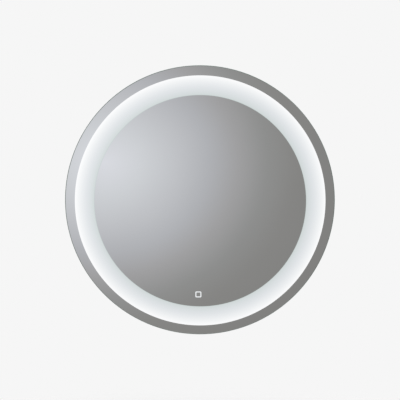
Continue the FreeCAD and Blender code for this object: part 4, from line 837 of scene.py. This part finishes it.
# ------------------------------
# Terminal cover. A powder-coated steel plate over the opening, held by two screws, with a rubber
# grommet in the hole where the supply cable goes in.
# ------------------------------
COVER_REAR, COVER_EDGE = 7.6, 0.2
SUPPLY = (95.0, -139.0)
cover_line = oblong(84, 62, 6, 12)
cover_grid = layered([(scale, cover_line, depth) for scale, depth in (
    (0, COVER_REAR), (0.3, COVER_REAR), (0.995, COVER_REAR), (1, COVER_REAR + COVER_EDGE),
    (1, PANEL_REAR - COVER_EDGE), (0.995, PANEL_REAR), (0.3, PANEL_REAR), (0, PANEL_REAR))],
    TERMINAL)
cover = skin("coated_terminal_cover", [cover_grid], [powder_coat])
cover_drills = [rod(at, CLEARANCE, 7, 9, 24) for at in COVER_SCREWS] + [rod(SUPPLY, 6.2, 7, 9)]
cut(cover, skin("cover_drill", cover_drills, []))
fit(cover, "mirror", ["terminal_cover"])

# Entry grommet. Moulded black rubber with a groove that grips the plate's edge and a rounded lip on
# both sides.
grommet_line = rounded([(4, 5.1), (8.4, 5.1), (8.4, COVER_REAR), (6.1, COVER_REAR),
                        (6.1, PANEL_REAR), (8.4, PANEL_REAR), (8.4, 11.1), (4, 11.1)],
                       np.array([0.4, 1.4, 0.3, 0.15, 0.15, 0.3, 1.4, 0.4]), steps=6)
fit(skin("moulded_entry_grommet", [turned(closed(grommet_line), SUPPLY, columns=72)],
         [black_rubber]), "mirror", ["entry_grommet"])


# ------------------------------
# Screws. Pan-head self-tappers, rolled threads, cross recess, zinc plated: eight hold the panel,
# two each the cover, the driver, the bumpers and the cord clamp.
# ------------------------------
HEAD_RADIUS, HEAD_HEIGHT, SHANK = 3.2, 1.9, 1.4
RECESS, ARM_HALF, ARM_END = 1.3, 0.62, 1.95    # depth of the cross, half an arm's width, its reach


def pan_screw(middle, seat, length):
    """A screw turned from a domed head, a threaded shank and a point. The recess is a cross cut
    into the dome: its floor falls inside half an arm's width of the nearer middle line, and rises
    again towards the arms' ends."""
    t = np.linspace(0, 1, 17)[:, None]
    dome = np.concatenate([2.2 * t, seat - HEAD_HEIGHT + 0.35 * t ** 2], 1)
    crown = [(2.75, seat - 1.25), (3.08, seat - 0.85), (HEAD_RADIUS, seat - 0.4),
             (HEAD_RADIUS, seat), (SHANK, seat)]
    turns = np.linspace(0, 1, int(length * 7))[1:, None]
    shank = (1 - turns) * (SHANK, seat) + turns * (SHANK, seat + length - 1.6)
    point = [(1.0, seat + length - 0.9), (0.5, seat + length - 0.25), (0, seat + length)]
    shape = turned(np.concatenate([dome, crown, shank, point]), middle, columns=48)
    shape = threaded(shape, middle, pitch=1.0, depth=0.35, start=seat + 0.3,
                     end=seat + length - 1.7, shank=SHANK)
    out = shape[..., [0, 2]] - middle
    arm = np.min(np.abs(out), axis=-1)
    far = np.linalg.norm(out, axis=-1)
    on_head = -shape[..., 1] < seat - 1.2
    depth = RECESS * eased((ARM_HALF - arm) / 0.3) * eased((ARM_END - far) / 0.8)
    shape[..., 1] -= np.where(on_head, depth, 0)
    return shape


CLAMP_SCREWS = [(TERMINAL[0] + side * 9.5, -133.0) for side in (-1, 1)]
BUMPER_SEAT = 4.0                 # depth of the counterbore in a bumper
for name, places, seat, length, node in (
        ("cross_head_panel_screws", PANEL_SCREWS, PANEL_REAR, 6.0, "panel_screws"),
        ("cross_head_cover_screws", COVER_SCREWS, COVER_REAR, 6.0, "terminal_cover_screws"),
        ("cross_head_driver_screws", DRIVER_SCREWS, PANEL_REAR, 6.0, "driver_screws"),
        ("cross_head_bumper_screws", BUMPERS, BUMPER_SEAT, 9.0, "bumper_screws"),
        ("cross_head_clamp_screws", CLAMP_SCREWS, 21.0, 5.0, "clamp_screws")):
    screws = skin(name, [pan_screw(at, seat, length) for at in places], [zinc_plate])
    fit(screws, "mirror", [node])


# ------------------------------
# Bumpers. Two moulded rubber feet, counterbored for their screws, that rest on the wall and keep
# the glass parallel to it.
# ------------------------------
bumper_line = rounded([(4.4, 0), (9, 0), (9, PANEL_REAR), (2.2, PANEL_REAR), (2.2, BUMPER_SEAT),
                       (4.4, BUMPER_SEAT)], np.array([0.5, 1.1, 0.3, 0.2, 0.2, 0.3]), steps=6)
fit(skin("moulded_wall_bumpers", [turned(closed(bumper_line), at, columns=72)
                                  for at in BUMPERS], [black_rubber]),
    "mirror", ["wall_bumpers"])


# ------------------------------
# Studio. A pale round floor below the mirror, four soft boxes and a pale room. What the mirror
# faces is a darker end of that room, grey with one soft glow up on the left, as mirrors show in a
# catalogue photograph; only reflections see it.
# ------------------------------
BACKGROUND = "F6F6F6"
FLOOR_LEVEL, FLOOR_RADIUS = -1010.0, 1600.0
FADE_FROM, FADE_TO = 700.0, 1550.0    # where the floor runs out into the background
floor_finish, tree, shader = material("matt_pale_floor", Base_Color=linear("EDEDEC"),
                                      Roughness=0.8)
place = add(tree, "TexCoord").outputs["Object"]
from_middle = add(tree, "VectorMath", {0: place, 1: (1, 1, 0)}, operation="MULTIPLY")
far = add(tree, "VectorMath", {0: from_middle.outputs["Vector"]}, operation="LENGTH")
fade = add(tree, "MapRange", {"Value": far.outputs["Value"], "From Min": FADE_FROM / 1000,
                              "From Max": FADE_TO / 1000}, interpolation_type="SMOOTHSTEP")
clear = add(tree, "BsdfTransparent")
floor_mix = add(tree, "MixShader", {0: fade.outputs["Result"],
                                    1: shader.outputs["BSDF"], 2: clear.outputs["BSDF"]})
tree.links.new(floor_mix.outputs["Shader"], tree.nodes["Material Output"].inputs["Surface"])
spread = np.linspace(0, FLOOR_RADIUS, 9)[:, None]
floor_turn = np.linspace(0, 2 * np.pi, 97)
floor_grid = np.stack([spread * np.cos(floor_turn), spread * np.sin(floor_turn),
                       FLOOR_LEVEL + 0 * spread * floor_turn], -1)
floor = skin("studio_floor", [floor_grid], [floor_finish])


def soft_box(name, place, aim, size, power):
    """A square area lamp that looks at a point."""
    lamp = bpy.data.lights.new(name, "AREA")
    lamp.size = size
    lamp.energy = power
    made = bpy.data.objects.new(name, lamp)
    made.location = place
    made.rotation_euler = (Vector(aim) - Vector(place)).to_track_quat("-Z", "Y").to_euler()
    bpy.context.collection.objects.link(made)


aim = (0, 0, GLASS_CENTRE[1] / 1000)
soft_box("key_left", (-2.0, -2.0, 1.5), aim, 2.0, 42)
soft_box("fill_right", (2.2, -1.5, 1.6), aim, 2.0, 16)
soft_box("top", (0.0, -0.3, 2.4), aim, 2.4, 14)
soft_box("rear_left", (1.9, 1.25, 1.5), aim, 2.3, 32)

CAMERA_DISTANCE = 2099.0          # from the middle of the glass's face, for an 85 mm lens
CAMERA_RISE = np.radians(4.2)     # the camera looks slightly down
GLOW = (-210.6, 86.4)             # where the glow shows, from the middle of the glass
GLOW_SQUASH = 1.1668              # the glow is wider than it is tall
camera_back, camera_up = CAMERA_DISTANCE * np.array([np.cos(CAMERA_RISE), np.sin(CAMERA_RISE)])
room = bpy.data.worlds.new("pale_studio")
bpy.context.scene.world = room
room.use_nodes = True
tree = room.node_tree
tree.nodes.clear()
glow_way = Vector((GLOW[0], -camera_back, GLOW[1] - camera_up)).normalized()
looking = add(tree, "TexCoord").outputs["Generated"]
off_glow = add(tree, "VectorMath", {0: looking, 1: glow_way}, operation="SUBTRACT")
squashed = add(tree, "VectorMath", {0: off_glow.outputs["Vector"],
                                    1: (0.5, 0.5, 0.5 * GLOW_SQUASH)}, operation="MULTIPLY")
from_glow = add(tree, "VectorMath", {0: squashed.outputs["Vector"]}, operation="LENGTH")
faced = add(tree, "ValToRGB", {"Fac": from_glow.outputs["Value"]}, stops=[
    (0.0, "E3E4EB"), (0.02, "D6D8DD"), (0.04, "C6C7CC"), (0.055, "B7B8BD"), (0.07, "A7A6A8"),
    (0.085, "959595"), (0.1, "8C8B8A"), (0.13, "868584"), (0.16, "838281"), (0.23, "868684"),
    (0.36, "959697"), (0.52, "AEB0B2"), (0.7, "CBCDCE"), (1.0, "F0F0F0")])
rays = add(tree, "LightPath")
mirror_rays = add(tree, "Math", {0: rays.outputs["Is Glossy Ray"],
                                 1: rays.outputs["Is Transmission Ray"]}, operation="MAXIMUM")
backdrop = add(tree, "Background", {"Color": linear(BACKGROUND), "Strength": 1.0})
faced_light = add(tree, "Background", {"Color": faced.outputs["Color"], "Strength": 1.0})
ambient = add(tree, "Background", {"Color": linear("F4F5F7"), "Strength": 0.62})
seen = add(tree, "MixShader", {0: mirror_rays.outputs["Value"], 1: ambient.outputs["Background"],
                               2: faced_light.outputs["Background"]})
all_rays = add(tree, "MixShader", {0: rays.outputs["Is Camera Ray"], 1: seen.outputs["Shader"],
                                   2: backdrop.outputs["Background"]})
add(tree, "OutputWorld", {"Surface": all_rays.outputs["Shader"]})

lens = bpy.data.cameras.new("camera")
lens.lens = 85
lens.sensor_width = 36
camera = bpy.data.objects.new("camera", lens)
camera.location = Vector((0, -GLASS_FRONT - camera_back, GLASS_CENTRE[1] + camera_up)) / 1000
camera.rotation_euler = (np.pi / 2 - CAMERA_RISE, 0, 0)
lens.shift_x, lens.shift_y = 0.00015, 0.00305   # the photograph's framing
bpy.context.collection.objects.link(camera)
bpy.context.scene.camera = camera
bpy.context.scene.view_settings.view_transform = "Standard"
